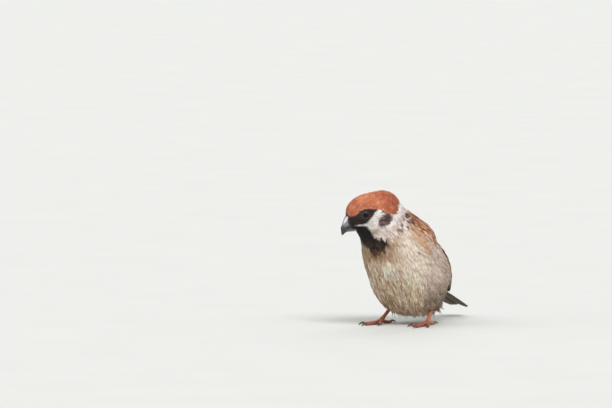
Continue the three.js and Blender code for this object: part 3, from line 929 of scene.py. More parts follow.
def fans(roots, shafts, ups, uv, width, barbs, rings, rng):
    """Feathers made of a few tufts of barbs that leave one root and spread a little towards their tips."""
    tone = plumage(shafts[:, 2])
    tone *= 1 + 0.10 * cloud(roots, 1.4, 8)[:, None] + rng.normal(0, 0.08, (len(roots), 1))
    tone *= 1 + rng.normal(0, 0.012, (len(roots), 3))
    streaky = mix(0.17, 0.34, smooth(38, 28, roots[:, 2:]))
    dark_side = rng.choice([-1.0, 1.0], len(roots)) * rng.uniform(0.3, 1.0, len(roots))
    outlined = 0.75 * lined(roots)
    # Each feather's root colour: the dark down on the body, and painted shade between the feathers on the
    # head.
    base = mix(mix(UNDER_DOWN, tone, 0.5), tone * PAINTED_HEAD_SHADE, headness(roots)[:, None])
    parts = []
    for j in range(barbs):
        lean = (2 * (j + 0.5) / barbs - 1) + rng.normal(0, 0.5 / barbs, len(roots))
        stop = 1 - 0.24 * lean**2 + rng.normal(0, 0.05, len(roots))
        start = 0.10 + 0.22 * np.abs(lean)
        streak = np.clip(1 + streaky * rng.normal(size=(len(roots), 1)), 0.5, 1.4)
        barb_tone = paint(tone, (BREAST_STREAK, outlined * smooth(0.1, 0.6, lean * dark_side))) * streak
        body, shade, patch, ways = [], [], [], []
        for k in range(rings + 1):
            share = k / rings
            t = mix(start, stop, share)
            middle = on_path(shafts, t)
            ahead = on_path(shafts, t + 0.05)
            up = unit(mix(ups[:, 1], ups[:, 3], t[:, None]))
            side = unit(np.cross(up, ahead - middle))
            spread = lean * (0.35 + 0.65 * share**0.7) * width / 2
            middle = middle + side * spread[:, None] - up * (0.08 * lean**2 * width)[:, None]
            half = (width / barbs * (0.66 - 0.46 * share**1.5))[:, None]
            thick = half * 0.3
            here = mix(base, barb_tone, smooth(0.05, 0.75, t)[:, None])
            spot_uv = uv + PATCH * np.column_stack([lean * 0.4, t - 0.5])
            for across, high in ((-1, 0), (1, 0), (0, 1)) if k < rings else ((0, 0.3),):
                body.append(middle + side * half * across + up * thick * high)
                shade.append(here)
                patch.append(spot_uv + [PATCH * 0.05 * across, 0])
                ways.append(up + side * 0.6 * across)
        parts.append([np.stack(column, 1) for column in (body, shade, patch, ways)])
    last = (rings - 1) * 3
    ends = [(0, 2, 1)] + [(last + i, last + (i + 1) % 3, last + 3) for i in range(3)]
    body, shade, patch, ways = (np.concatenate(column) for column in zip(*parts))
    points, faces = many(body, np.concatenate([ends, ring_faces(rings, 3, ends="open")]))
    return points, faces, shade.reshape(-1, 3), patch.reshape(-1, 2), unit(ways).reshape(-1, 3)


def feather_length(p):
    return by_area(p, 6.6 + 2.2 * smooth(12, 24, p[:, 1]), 2.5, 1.15)


def feather_width(p):
    return by_area(p, 1.8, 0.95, 0.5)


def tufts(name, slot, roots, shafts, ups, uv, width, barbs, rings, rng, darken=lambda tint: tint):
    """A piece of the coat made of fans."""
    points, faces, tint, patch, facing = fans(roots, shafts, ups, uv, width, barbs, rings, rng)
    make_piece(name, points, faces, DOWN, slot, darken(tint), maps={"OFBake": patch}, facing=facing)


def coat(name, where, slot, coverage, barbs, rings, seed):
    """The small feathers of one zone; coverage is how many of them lie over each place."""
    def apart(p):
        return np.sqrt(feather_length(p) * feather_width(p) * 0.5 / coverage)

    def bared(p):
        return np.where(bare_wing(p) > 0, -1, where(p))

    roots, normals, uv = scatter(bared, apart, seed)
    rng = np.random.default_rng(seed + 1)
    hanging = smooth(15, 8, roots[:, 2]) * (1 - headness(roots))
    stray = rng.random(len(roots)) < 0.25
    loose = 0.04 + hanging * mix(0.45, 0.8, stray)
    length = feather_length(roots) * (1 + 0.15 * stray * hanging) * rng.uniform(0.82, 1.18, len(roots))
    shafts, ups = paths(roots, normals, length, loose, rng)
    tufts(name, slot, roots, shafts, ups, uv, feather_width(roots), barbs, rings, rng)


VENT_FROM = 10.0  # the vent's feathers begin this far back


def is_back(p):
    """Above 0 where the back's larger feathers grow."""
    return dorsal(p) + 0.3


def front_zone(low, high):
    """The underside and sides between two heights, ahead of the vent."""
    def where(p):
        z = p[:, 2]
        inside = np.minimum(np.minimum(high - z, z - low), VENT_FROM - p[:, 1])
        return np.where((is_back(p) < 0) & (headness(p) < 0.5), inside, -1)
    return where


def head_zone(side):
    """The head above the cap's edge where side is 1, and below it where it is -1."""
    def where(p):
        q = to_head(p)
        return np.minimum(headness(p) - 0.5, side * (q[:, 2] - CAP_EDGE(q[:, 1])))
    return where


# Each coat piece's place, slot, coverage, barbs to a feather and rings to a barb.
ZONES = {
    "coat_crown": (head_zone(1), "crown", 4.5, 4, 2),
    "coat_face": (head_zone(-1), "collar", 4.5, 4, 2),
    "coat_collar": (front_zone(42, 99), "collar", 6.5, 7, 3),
    "coat_breast": (front_zone(31, 42), "breast", 6.5, 7, 3),
    "coat_flanks": (front_zone(20, 31), "breast", 6.5, 7, 3),
    "coat_belly": (front_zone(-9, 20), "breast", 6.5, 7, 3),
    "coat_vent": (lambda p: (p[:, 1] - VENT_FROM) * (is_back(p) < 0), "breast", 6.0, 7, 3),
}


for index, (name, zone) in enumerate(ZONES.items()):
    coat(name, *zone, seed=100 + index * 10)


def bristles():
    """Short dark tufts round the base of the bill that lie forward over it and hide its join."""
    def at_bill(p):
        q = to_head(p)
        off = np.hypot(q[:, 0] / 3.7, (q[:, 2] + 1.6) / 5.1)
        return np.minimum(np.minimum(1.24 - off, off - 0.85), np.minimum(-5.4 - q[:, 1], q[:, 2] + 4.4))

    roots, normals, uv = scatter(at_bill, every(0.36), seed=200)
    rng = np.random.default_rng(201)
    over_ridge = smooth(0.5, 3.0, to_head(roots)[:, 2:])
    down = mix(way_in_head(0, -1, -0.45), way_in_head(0, -0.55, -1), over_ridge)
    ahead = unit(down + mix(0.2, 0.05, over_ridge) * normals + rng.normal(0, 0.10, normals.shape))
    reach = rng.uniform(1.0, 2.1, (len(roots), 1)) * mix(1, 0.7, over_ridge)
    skin = roots - normals * 0.3
    shafts = np.stack([
        skin + ahead * reach * share + normals * 0.35 * math.sin(math.pi * share)
        for share in THIRDS
    ], 1)
    ups = np.stack([normals] * 4, 1)
    tufts("coat_bristles", "crown", roots, shafts, ups, uv, every(0.5)(roots), 3, 3, rng,
          darken=lambda tint: mix(tint * 0.5, MASK * 0.8, 0.85))


bristles()


# ---- feathers with a vane

ACROSS = np.array([-1, -0.66, -0.33, -0.08, 0.08, 0.33, 0.66, 1])  # a vane's points, edge to edge


def vanes(centres, ups, half_width, thickness, tone, camber=0.10, serrate=0.05, seed=0):
    """Vaned feathers as thin closed lenses. centres and ups are (feathers, rows, 3), half_width is
    (feathers, rows), and tone(across, along, feather) gives colours. Returns points, faces, tints, and
    the points' (across, along) places and feathers."""
    rng = np.random.default_rng(seed)
    count, rows = centres.shape[:2]
    heading = unit(np.gradient(centres, axis=1))
    side = unit(np.cross(ups, heading))
    along = np.broadcast_to(np.linspace(0, 1, rows)[None, :], (count, rows))
    ring_points, ring_places = [], []
    span = half_width * (1 + rng.normal(0, serrate, (count, rows)))
    for face, places in ((1, ACROSS), (-1, ACROSS[-2:0:-1])):
        for u in places:
            arch = camber * half_width * (1 - u * u)
            shaft = 0.5 * thickness if abs(u) < 0.1 else 0.0
            height = arch + face * (thickness * (1 - u * u) + shaft) / 2
            wide = span if abs(u) == 1 else half_width
            ring_points.append(centres + side * (u * wide)[:, :, None] + ups * height[:, :, None])
            ring_places.append(np.stack([np.full((count, rows), u), along], -1))
    points = np.stack(ring_points, 2)
    places = np.stack(ring_places, 2)
    sides = points.shape[2]
    which = np.broadcast_to(np.arange(count)[:, None, None], places.shape[:3])
    tints = tone(places[..., 0], places[..., 1], which)
    flat_points, faces = many(points.reshape(count, rows * sides, 3), ring_faces(rows, sides))
    return flat_points, faces, tints.reshape(-1, 3), places.reshape(-1, 2), which.reshape(-1)


def rounded(rows, root=0.35, tip=0.25, full=0.55):
    """A vane's half width along it, as a share of its widest."""
    width = curve((0, root), (full * 0.5, 0.8), (full, 1.0), (0.86, 0.8), (0.96, 0.5), (1, tip))
    return width(np.linspace(0, 1, rows))


def back_feathers():
    """The mantle, back and rump: broad feathers with a dark streak down the shaft."""
    def where(p):
        over_tail = (p - TAIL_ROOT) @ TAIL_BACK
        return np.where((bare_wing(p) > 1.5) | (over_tail > 17), -1, is_back(p))

    roots, normals, uv = scatter(where, every(1.6), seed=310)
    rng = np.random.default_rng(311)
    count, rows = len(roots), 8
    rump = smooth(*RUMP_FROM, (roots - TRUNK_MIDDLE) @ TAILWARD)
    near_collar = 1 - smooth(17, 22, size(roots - SKULL))
    length = mix(mix(8.8, 7.4, rump), 4.6, near_collar) * rng.uniform(0.9, 1.1, count)
    width = mix(3.6, 2.2, near_collar) * rng.uniform(0.9, 1.1, count)
    shafts, ups = paths(roots, normals, length, np.full(count, 0.02), rng)
    steps = np.linspace(0.05, 1, rows)
    centres = np.stack([on_path(shafts, np.full(count, t)) for t in steps], 1)
    normals_along = np.stack([unit(mix(ups[:, 1], ups[:, 3], t)) for t in steps], 1)
    half = width[:, None] / 2 * rounded(rows)[None]
    seen = plumage(shafts[:, 2])
    buff = (rng.random(count) < 0.35) * rng.uniform(0.2, 0.6, count) * (1 - rump)
    seen = mix(seen, MANTLE_BUFF, buff[:, None])
    rufous = (rng.random(count) < 0.3) * 0.5 * (1 - rump)
    seen = mix(seen, CHESTNUT * 0.8, rufous[:, None])
    dark = near_collar * (rng.random(count) < 0.4) * 0.7
    seen = mix(seen, STREAK, dark[:, None])
    streaked = (rng.random(count) < mix(0.97, 0.35, smooth(0.0, 0.6, rump))) * rng.uniform(0.8, 1.0, count)
    bright = rng.normal(1.0, 0.1, count)
    spread = rng.uniform(0.22, 0.48, count)

    def tone(across, along, which):
        base = (seen * bright[:, None])[which]
        wide = spread[which] * mix(1.0, 0.6, along)
        dark = smooth(wide + 0.14, wide - 0.08, np.abs(across)) * smooth(1.02, 0.9, along) * streaked[which]
        base = base * mix(0.7, 1.08, smooth(0.1, 0.9, along))[..., None]
        base = mix(base, base * 0.72, (smooth(0.12, 0.04, np.abs(across)) * 0.8)[..., None])
        return mix(base, STREAK, dark[..., None])

    points, faces, tints, places, which = vanes(centres, normals_along, half, 0.14, tone, serrate=0.08,
                                                seed=312)
    patch = uv[which] + PATCH * np.column_stack([places[:, 0] * 0.45, places[:, 1] - 0.5])
    make_piece("coat_back", points, faces, CONTOUR, "wing", tints,
               maps={"OFBake": patch, "Vane": places * [1, 4]})


back_feathers()


# ---- wings

def wing_feathers(facts, sign, rows, thickness, tone, seed):
    """Feathers laid on a wing. Each row is (a0, h0, a1, h1, width, lift0, lift1, bow)."""
    t = np.linspace(0, 1, rows)[None, :]
    a0, h0, a1, h1, width, lift0, lift1, bow = facts.T[:, :, None]
    a = mix(a0, a1, t)
    h = mix(h0, h1, t) - bow * np.sin(np.pi * t)
    lift = mix(lift0, lift1, t) - smooth(1.5, -2.5, a - COVERED(h))
    centres = on_wing(a, h, lift, sign)
    side = on_wing(a, h + 0.4, lift, sign) - on_wing(a, h - 0.4, lift, sign)
    heading = np.gradient(centres, axis=1)
    ups = unit(np.cross(heading, side))
    ups *= np.sign(np.sum(ups * (WING_OUT * [sign, 1, 1]), axis=-1, keepdims=True))
    half = width / 2 * rounded(rows, root=0.45, tip=0.2, full=0.7)[None]
    return vanes(centres, ups, half, thickness, tone, camber=0.05, serrate=0.03, seed=seed)


def edged(base, edge, edge_from, tip=None, tip_from=0.85, seed=0, dim=0.75):
    """A vane's colours: a dark web, a pale edge, and a pale tip where one is given."""
    def tone(across, along, which):
        salt = 1 + 0.08 * np.sin(which * 5.1 + seed)
        t = np.broadcast_to(base, across.shape + (3,)) * salt[..., None]
        rim = smooth(edge_from, edge_from + 0.25, np.abs(across)) * smooth(0.02, 0.3, along)
        t = mix(t, edge, rim[..., None])
        t = mix(t, base * 0.6, (smooth(0.14, 0.06, np.abs(across)) * 0.7)[..., None])
        if tip is not None:
            t = mix(t, tip, smooth(tip_from, tip_from + 0.1, along)[..., None])
        return t * mix(dim, 1.0, smooth(0.0, 0.35, along))[..., None]
    return tone


PRIMARY_TIPS = [(56.5, -0.9), (59.0, -0.3), (58.2, 0.3), (55.8, 0.8), (53.0, 1.3), (50.4, 1.8), (48.0, 2.3)]
PRIMARIES = [
    [12 + 0.8 * i, -8.2 + 1.2 * i, a, h, 5.0, -1.6 + 0.1 * i, -0.45 + 0.06 * i, 1.2]
    for i, (a, h) in enumerate(PRIMARY_TIPS)
]
DARK = STREAK * 1.3
# Each group's feathers, rows, thickness and colours, from the lowest layer to the top one: primaries,
# secondaries, inner secondaries, tertials, greater coverts and median coverts.
WING_LAYERS = [
    (PRIMARIES, 16, 0.3, edged(QUILL, PRIMARY_EDGE, 0.68, seed=1)),
    (np.linspace((14, -4.5, 44.5, -1.5, 5.4, -1.3, -0.15, 0.6),
                 (17, 3, 43, 5, 5.6, -0.9, 0.1, 0.2), 6), 14, 0.3, edged(QUILL, WEB_EDGE, 0.5, seed=2)),
    (np.linspace((15, 8.6, 50, 4.6, 5, -0.7, 0.15, -1.4),
                 (12, 11.6, 31, 11.2, 5.6, -0.3, 0.4, -0.8), 4),
     12, 0.3, edged(DARK, RUFOUS_EDGE, 0.5, seed=4)),
    (np.linspace((15, 3.5, 46.5, 4.2, 6.6, -0.8, 0.2, -0.6),
                 (17, 7.5, 34, 8, 6.8, -0.5, 0.4, -1), 3), 12, 0.3, edged(DARK, RUFOUS_EDGE, 0.5, seed=3)),
    (np.linspace((11, -5.8, 23.5, -6.6, 3.5, -0.7, 0.15, 0.3),
                 (13, 9.5, 26.5, 9, 3.7, -0.4, 0.4, -0.4), 10),
     9, 0.25, edged(DARK, GREATER_EDGE, 0.42, WHITE_TIP, 0.9, seed=6)),
    (np.linspace((6, -5, 14.5, -5.6, 3.6, -0.4, 0.35, 0.2),
                 (8, 8.5, 17, 8.6, 3.7, -0.2, 0.5, -0.3), 8),
     8, 0.25, edged(BLACK, MEDIAN_EDGE, 0.6, WHITE_TIP, 0.82, seed=7)),
]


def wing(side, sign):
    """A folded wing's vaned feathers, apart from those that the coat covers."""
    parts, start = [], 0
    for index, (facts, *look) in enumerate(WING_LAYERS):
        facts = [f for f in facts if mix(f[0], f[2], 0.85) > COVERED(mix(f[1], f[3], 0.85)) - 1]
        points, faces, tints, places, which = wing_feathers(np.array(facts), sign, *look, index)
        parts.append((points, faces[:, ::sign], tints, places, which + start))
        start += len(facts)
    points, faces, tints, places, which = gather(parts)
    piece = make_piece(f"wing_{side}_feathers", points, faces, FLIGHT, "wing", tints,
                       maps={"OFBake": celled(places, which, start), "Vane": places * [1, 9]})
    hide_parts(f"wing_{side}")


def celled(places, which, count):
    """Each feather's own cell in a square grid on the unwrap, from (across, along) and the feather."""
    grid = math.ceil(math.sqrt(count))
    u = (which % grid + 0.5 + places[:, 0] * 0.42) / grid
    v = (which // grid + 0.08 + places[:, 1] * 0.84) / grid
    return np.column_stack([u, v])


def wing_core(side, sign):
    """The wing's flesh and the hidden feather bases: a dark body under the vanes, sunk under the coat."""
    points, normals, faces = node_mesh(f"wing_{side}")
    a, h, _, _ = in_wing(points)
    sunk = mix(0.2, 2.6, smooth(2, -3, a - COVERED(h)))[:, None]
    points = points - normals * 0.35 - WING_OUT * [sign, 1, 1] * sunk
    triangles = np.array([f for f in faces if len(f) == 3])
    tint = np.broadcast_to(QUILL * 0.8, points.shape)
    make_piece(f"wing_{side}_core", points, triangles, DOWN, "wing", tint)


for side, sign in (("left", 1), ("right", -1)):
    wing(side, sign)
    wing_core(side, sign)


# ---- tail

RUMP_LINE = curve((0, 14.6), (4, 12.2), (8, 9.7), (12, 7.4), (16, 5.4), (20, 3.6), (23, 2.3), (26, 1.6),
                  (30, 1.2), (40, 1.0))
COVERT_ROWS = 5
TAIL_LENGTHS = (52.3, 52.4, 52.4, 52.1, 51.7, 51.0)  # from the middle pair outwards


def tail_coverts():
    """The soft brown feathers that run from the rump over the root of the tail, in rows."""
    rows = 12
    t = np.linspace(0, 1, rows)
    centres, half = [], []
    for row in range(COVERT_ROWS):
        count = 7 - row % 2
        for place in np.linspace(-1, 1, count):
            start = 18 - 3.2 * row
            along = mix(start, start + 13.5 - 2.5 * abs(place), t)
            across = place * mix(4.4 + 0.4 * row, 4.1 + 0.4 * row, t) * (0.95 if row % 2 else 1.0)
            rise = RUMP_LINE(along) - 0.055 * across**2 + mix(-0.8, 0.1 + 0.12 * row, smooth(0, 0.4, t))
            line = TAIL_ROOT + TAIL_BACK * along[:, None] + TAIL_UP * rise[:, None]
            line[:, 0] += across
            centres.append(line)
            half.append(1.9 * rounded(rows))
    centres, half = np.array(centres), np.array(half)
    ups = np.broadcast_to(TAIL_UP, centres.shape)
    tone = edged(RUMP * 0.8, RUMP * 1.1, 0.5, seed=10)
    return vanes(centres, ups, half, 0.14, tone, camber=0.12, serrate=0.08, seed=10)


def tail_across(t):
    """The way across the tail at shares t of its length: it is rolled a little, its left side lower."""
    roll = (TAIL_ROLL * t)[:, None]
    return np.array([1, 0, 0]) * np.cos(roll) - TAIL_UP * np.sin(roll)


def tail():
    """Twelve feathers closed over each other, the middle pair on top and the outermost lowest."""
    t = np.linspace(0, 1, 18)
    width = 2.8 * curve((0, 0.4), (0.3, 0.8), (0.7, 1.0), (0.94, 0.9), (0.985, 0.62), (1, 0.25))(t)
    centres, ups = [], []
    for pair, length in enumerate(TAIL_LENGTHS):
        for sign in (1, -1):
            shift = sign * mix(0.5 + 0.25 * pair, 0.9 + 0.74 * pair, t) * smooth(0, 0.3, t)
            rise = 0.6 - 0.26 * pair + sign * 0.05
            line = TAIL_ROOT + TAIL_BACK * (t * length)[:, None] + TAIL_UP * rise
            centres.append(line + tail_across(t) * shift[:, None])
            ups.append(np.cross(tail_across(t), TAIL_BACK))
    half = np.tile(width, (len(centres), 1))
    tone = edged(TAIL_WEB, TAIL_EDGE, 0.72, seed=9, dim=0.9)
    plumes = vanes(np.array(centres), np.array(ups), half, 0.16, tone, camber=0.06, serrate=0.02, seed=9)
    *coverts, which = tail_coverts()
    points, faces, tints, places, which = gather([plumes, (*coverts, which + len(centres))])
    piece = make_piece("tail_feathers", points, faces, FLIGHT, "tail", tints,
                       maps={"OFBake": celled(places, which, which.max() + 1), "Vane": places * [1, 12]})
    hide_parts("tail")


tail()


# ---- bill

BILL_BASE, BILL_END, BILL_WIDE, BILL_CLOSE = -6.4, -15.5, 7.4, -4.9
# Heights in the head of the cutting edge, the ridge and the keel, from the bill's base to its end.
EDGE = curve((0, -3.2), (0.4, -3.3), (0.75, -3.1), (1, BILL_CLOSE))
CULMEN = curve((0, 3.6), (0.3, 2.9), (0.5, 1.6), (0.7, -0.2), (0.88, -1.8), (1, BILL_CLOSE + 0.4))
GONYS = curve((0, -7.2), (0.35, -6.2), (0.7, -5.0), (1, BILL_CLOSE - 0.6))


def mandible(half, ridge, edge, upper):
    """One half of the bill: a keeled cone with a slightly overhanging cutting edge. The upper half carries
    the nostrils and a brighter painted highlight; the lower one is narrower and shuts inside it. Painted
    shade darkens the nostrils, the cutting edges and the inner faces where the halves meet."""
    rows, arch = 40, 26
    angle = np.linspace(0, np.pi, arch)
    rise = np.sin(angle) ** 0.85
    under = np.linspace(-0.75, 0.75, 6)
    points, tint = [], []
    for s in np.linspace(0, 1, rows):
        along = mix(BILL_BASE, BILL_END, s)
        wide = BILL_WIDE / 2 * (1 - s) ** 0.82 * (1 - 0.12 * s) * (1 if upper else 0.92) + 0.2
        low, high = edge(s), ridge(s)
        across = wide * np.cos(angle) * (1 - 0.06 * smooth(0.0, 0.3, rise) * smooth(0.9, 0.5, rise))
        nostril = upper * smooth(0.055, 0.03, np.hypot(s - 0.13, (rise - 0.72) * 0.25))
        across = across * (1 - 0.05 * nostril)
        points += [from_head(x, along, mix(low, high, r)) for x, r in zip(across, rise)]
        points += [from_head(wide * u, along, mix(low, high, 0.10 * (1 - u * u))) for u in under]
        # Painted highlight: a bright streak on the upper side near the ridge and a fainter one lower on the
        # side.
        ridge_highlight = np.exp(-(((rise - 0.8) / 0.13) ** 2)) * smooth(0.92, 0.45, s)
        side_highlight = 0.35 * smooth(0.15, 0.4, rise) * smooth(0.95, 0.7, rise) * smooth(0.95, 0.35, s)
        sheen = np.maximum(ridge_highlight, side_highlight) * (1.0 if upper else 0.4)
        shade = mix(BILL_DARK, BILL_HIGHLIGHT, sheen[:, None])
        shade = mix(shade, BILL_TIP_AND_SHADE, smooth(0.5, 0.95, s))
        # Painted shade along the cutting edges and in the nostrils; the flat inner faces where the halves
        # meet are painted as dark as the end.
        shade = mix(shade, BILL_TIP_AND_SHADE, 0.7 * smooth(0.14, 0.02, rise)[:, None])
        shade = mix(shade, BILL_TIP_AND_SHADE, 0.8 * nostril[:, None])
        tint += list(shade) + [BILL_TIP_AND_SHADE] * len(under)
    faces = ring_faces(rows, arch + len(under), flip=upper)
    piece = make_piece(f"bill_{half}_horn", points, faces, BILL_HORN, "bill", tint)
    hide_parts(f"bill_{half}")


mandible("upper", CULMEN, EDGE, True)
mandible("lower", GONYS, lambda s: EDGE(s) - 0.2, False)


# ---- eyes

LID_WIDE, LID_HIGH = 1.92, 1.68  # half the opening between the lids


def eye(side, sign):
    """The ball, with its pupil and iris, and the rim of the lids round the opening."""
    out = unit(way_in_head(sign, -0.16, 0.06))
    across = unit(np.cross(way_in_head(0, 0, 1), out))
    above = np.cross(out, across)
    centre = from_head(sign * EYE_SIDE, 0, 0)

    rows, around = 36, 48
    points, tint = [], []
    for row in range(rows + 1):
        polar = math.pi * row / rows * 0.999 + 0.0005
        swell = 0.10 * max(0.0, 1 - (polar / 0.8) ** 2)
        r = math.sin(polar) * EYE_RADIUS if polar < math.pi / 2 else 9
        tone = mix(mix(IRIS, IRIS_RIM, smooth(1.55, 1.75, r)), PUPIL, smooth(1.12, 0.98, r))
        for i in range(around):
            turn = 2 * math.pi * i / around
            level = across * math.cos(turn) + above * math.sin(turn)
            way = out * math.cos(polar) + level * math.sin(polar)
            points.append(centre + way * (EYE_RADIUS - 0.1 + swell))
            tint.append(tone)
    faces = ring_faces(rows + 1, around, flip=True)
    ball = make_piece(f"eye_{side}_ball", points, faces, EYEBALL, "eye", tint)
    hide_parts(f"eye_{side}")

    rows, around = 72, 12
    points = []
    for row in range(rows):
        turn = 2 * math.pi * row / rows
        spread = across * math.cos(turn) * LID_WIDE + above * math.sin(turn) * LID_HIGH
        middle = centre + spread + out * math.sqrt(EYE_RADIUS**2 - np.linalg.norm(spread) ** 2)
        normal = unit(middle - centre)
        binormal = unit(np.cross(np.cross(normal, unit(spread)), normal))
        fold = 0.30 + 0.05 * math.sin(row * 2.1)
        for i in range(around):
            angle = 2 * math.pi * i / around
            points.append(middle + binormal * math.cos(angle) * fold + normal * math.sin(angle) * 0.26)
    faces = ring_faces(rows, around, ends="joined")
    make_piece(f"eye_{side}_lids", points, faces, LID, "eye", [LID_GREY] * len(points))


eye("left", 1)
eye("right", -1)


# ---- legs

LEGS = {
    "left": {"sign": 1, "ankle": (12, 9.5, 13.5), "foot": (12, 0, 2.2), "aim": 2},
    "right": {"sign": -1, "ankle": (-8.2, 9, 13.5), "foot": (-13.4, -0.5, 2.2), "aim": -8},
}
TOES = {
    "inner": {"length": 9.5, "heading": -27, "claw": 3.4, "plates": 11, "joints": (0.3, 0.62)},
    "middle": {"length": 13.5, "heading": 0, "claw": 3.8, "plates": 11, "joints": (0.25, 0.5, 0.74)},
    "outer": {"length": 10, "heading": 25, "claw": 3.4, "plates": 11, "joints": (0.22, 0.42, 0.6, 0.8)},
    "hind": {"length": 8, "heading": 180, "claw": 4.6, "plates": 7, "joints": (0.45,)},
}
# Places along a toe and their heights, and along a claw from its own root.
TOE_HEIGHTS = ((0.22, 1.42), (0.5, 0.90), (0.78, 0.74), (1, 0.72))
CLAW_HEIGHTS = ((-0.05, 0.9), (0.3, 1.22), (0.7, 0.92), (1, 0.26))
SHIN_RADIUS = curve((0, 1.2), (0.14, 1.32), (0.3, 0.98), (0.8, 0.9), (1, 1.3))
CLAW_RADIUS = curve((0, 0.52), (0.4, 0.46), (0.8, 0.26), (1, 0.12))
FLOOR = 0.12  # no skin or claw comes lower than this


def tube(places, radius, steps, sides, plates=0, tall=1.0):
    """A limb along a smooth line through a few places, radius(share) thick, with rounded ends. Returns its
    points, its faces and its plate marks, 0 in the grooves between the plates on its front."""
    t, at = np.linspace(0, 1, steps), np.linspace(0, 1, len(places))
    line = np.column_stack([curve(*zip(at, column))(t) for column in np.array(places, float).T])
    radii = radius(t)
    heading = unit(np.gradient(line, axis=0))
    across = np.cross([0.0, 0.0, 1.0], heading[0])
    points, marks = [], []
    last = steps - 1
    rings = [(0, -1, 80), (0, -1, 45)] + [(i, 0, 0) for i in range(steps)] + [(last, 1, 45), (last, 1, 80)]
    for i, way, tilt in rings:
        across = unit(across - across @ heading[i] * heading[i])
        above = np.cross(heading[i], across)
        wide = radii[i] * math.cos(math.radians(tilt))
        middle = line[i] + heading[i] * way * radii[i] * math.sin(math.radians(tilt))
        place = (i / last * plates) % 1.0
        for k in range(sides):
            angle = 2 * math.pi * k / sides
            front = 0.5 + 0.5 * math.sin(angle)
            step = front * 0.07 * (place - 0.5) if plates else 0.0
            ring = across * math.cos(angle) + above * math.sin(angle) * tall
            points.append(middle + ring * wide * (1 + step))
            marks.append(mix(1.0, min(place, 1 - place) * 2, front))
    points = np.array(points)
    points[:, 2] = np.maximum(points[:, 2], FLOOR)
    return points, ring_faces(len(rings), sides), np.array(marks)


def leg(side, spec):
    """The bare shin and toes as one piece, and the claws."""
    ankle, foot = np.array(spec["ankle"], float), np.array(spec["foot"], float)
    shin = [ankle + unit(ankle - foot) * 2.0, ankle, mix(ankle, foot, 0.35), mix(ankle, foot, 0.75), foot]
    parts = [tube(shin, SHIN_RADIUS, steps=70, sides=20, plates=9)]
    for name, toe in TOES.items():
        heading = math.radians(spec["aim"] + spec["sign"] * toe["heading"])
        way = np.array([math.sin(heading), -math.cos(heading), 0])

        def at(share, height):
            return np.array([foot[0], foot[1], 0]) + way * toe["length"] * share + np.array([0, 0, height])

        def radius(t):
            pads = sum(np.exp(-(((t - joint) / 0.05) ** 2)) for joint in toe["joints"])
            return mix(0.98, 0.70, t) * (1 + 0.12 * pads)

        places = [at(0, foot[2])] + [at(*place) for place in TOE_HEIGHTS]
        parts.append(tube(places, radius, steps=44, sides=16, plates=toe["plates"]))
        claw(f"leg_{side}_claw_{name}", at, toe["claw"] / toe["length"])
    points, faces, marks = gather(parts)
    # The skin is darker towards the floor.
    tint = mix(LEG, LEG_LOW, smooth(3.0, 1.0, points[:, 2])[:, None])
    piece = make_piece(f"leg_{side}_skin", points, faces, LEG_SKIN, "leg", tint, marks={"Plate": marks})
    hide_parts(f"leg_{side}_tarsus", *(f"leg_{side}_toe_{name}" for name in TOES))


def claw(solid, at, share):
    """A curved claw, deeper than wide, that comes down to a point on the floor; share is its length as a
    share of its toe's."""
    places = [at(1 + along * share, height) for along, height in CLAW_HEIGHTS]
    points, faces, _ = tube(places, CLAW_RADIUS, steps=22, sides=12, tall=1.15)
    tint = mix(CLAW_ROOT, CLAW_TIP, smooth(0, 1, np.linspace(0, 1, len(points)))[:, None])
    piece = make_piece(f"{solid}_horn", points, faces, CLAW_HORN, "claw", tint)
    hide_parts(solid)


for side, spec in LEGS.items():
    leg(side, spec)


# ---- studio and camera

def way_from(azimuth, elevation):
    """The way out from the bird at angles in degrees; azimuth 0 is in front of its trunk."""
    a, e = math.radians(azimuth), math.radians(elevation)
    return Vector((math.sin(a) * math.cos(e), -math.cos(a) * math.cos(e), math.sin(e)))


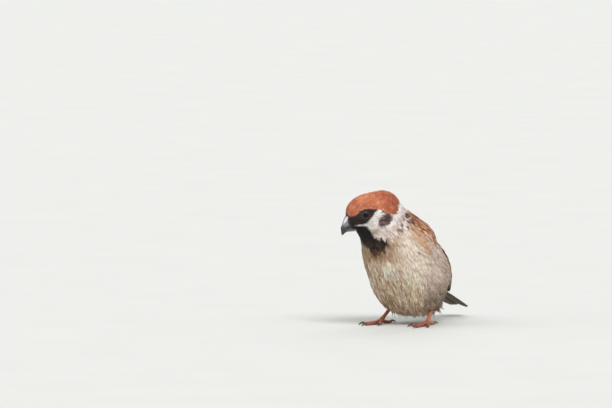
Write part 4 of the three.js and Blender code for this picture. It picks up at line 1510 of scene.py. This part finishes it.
CAMERA_AZIMUTH, CAMERA_ELEVATION = 27, 4
CAMERA_DISTANCE = 3.4
toward = way_from(CAMERA_AZIMUTH, CAMERA_ELEVATION)
right = way_from(CAMERA_AZIMUTH + 90, 0)
aim = Vector(ORIGIN) - right * 0.050 + toward.cross(right) * 0.0605
camera = placed("camera", bpy.data.cameras.new("camera"))
camera.data.sensor_width = 36
camera.data.lens = 400
camera.data.clip_end = 100
camera.location = aim + toward * CAMERA_DISTANCE
camera.rotation_euler = toward.to_track_quat("Z", "Y").to_euler()
bpy.context.scene.camera = camera

# Wide soft lights from far off: azimuth, elevation, strength and the angle that each fills.
SUNS = {"key": (46, 46, 2.3, 26), "fill": (-50, 34, 0.7, 60), "back": (200, 42, 0.8, 50)}
for name, (azimuth, elevation, strength, softness) in SUNS.items():
    lamp = bpy.data.lights.new(name, "SUN")
    lamp.energy = strength
    lamp.angle = math.radians(softness)
    placed(name, lamp).rotation_euler = way_from(azimuth, elevation).to_track_quat("Z", "Y").to_euler()


def floor_look(tree):
    """A plain pale floor with the faintest grain."""
    return times(tree, (0.62, 0.63, 0.615), grain(tree, 0.02, 3, 0.985, 1.01)), None


floor_mesh = bpy.data.meshes.new("floor")
floor_mesh.from_pydata([(-30, -30, 0), (30, -30, 0), (30, 30, 0), (-30, 30, 0)], [], [(0, 1, 2, 3)])
floor_mesh.materials.append(new_material("floor", floor_look, roughness=0.9, specular=0.1))
placed("floor", floor_mesh)

world = bpy.data.worlds.new("studio")
bpy.context.scene.world = world
world.use_nodes = True
sky = world.node_tree
sky.nodes.clear()
path = node(sky, "LightPath")
seen = path.outputs["Is Camera Ray"]
for ray in ("Is Glossy Ray", "Is Transmission Ray"):
    seen = node(sky, "Math", "Value", {0: seen, 1: path.outputs[ray]}, operation="MAXIMUM")
light = node(sky, "Background", "Background", {"Color": (1.0, 0.985, 0.96, 1), "Strength": 0.55})
shown = node(sky, "Background", "Background", {"Color": (0.78, 0.80, 0.78, 1)})
blend = node(sky, "MixShader", "Shader", {"Fac": seen, 1: light, 2: shown})
node(sky, "OutputWorld", inputs={"Surface": blend})

bpy.context.scene.view_settings.view_transform = "Standard"
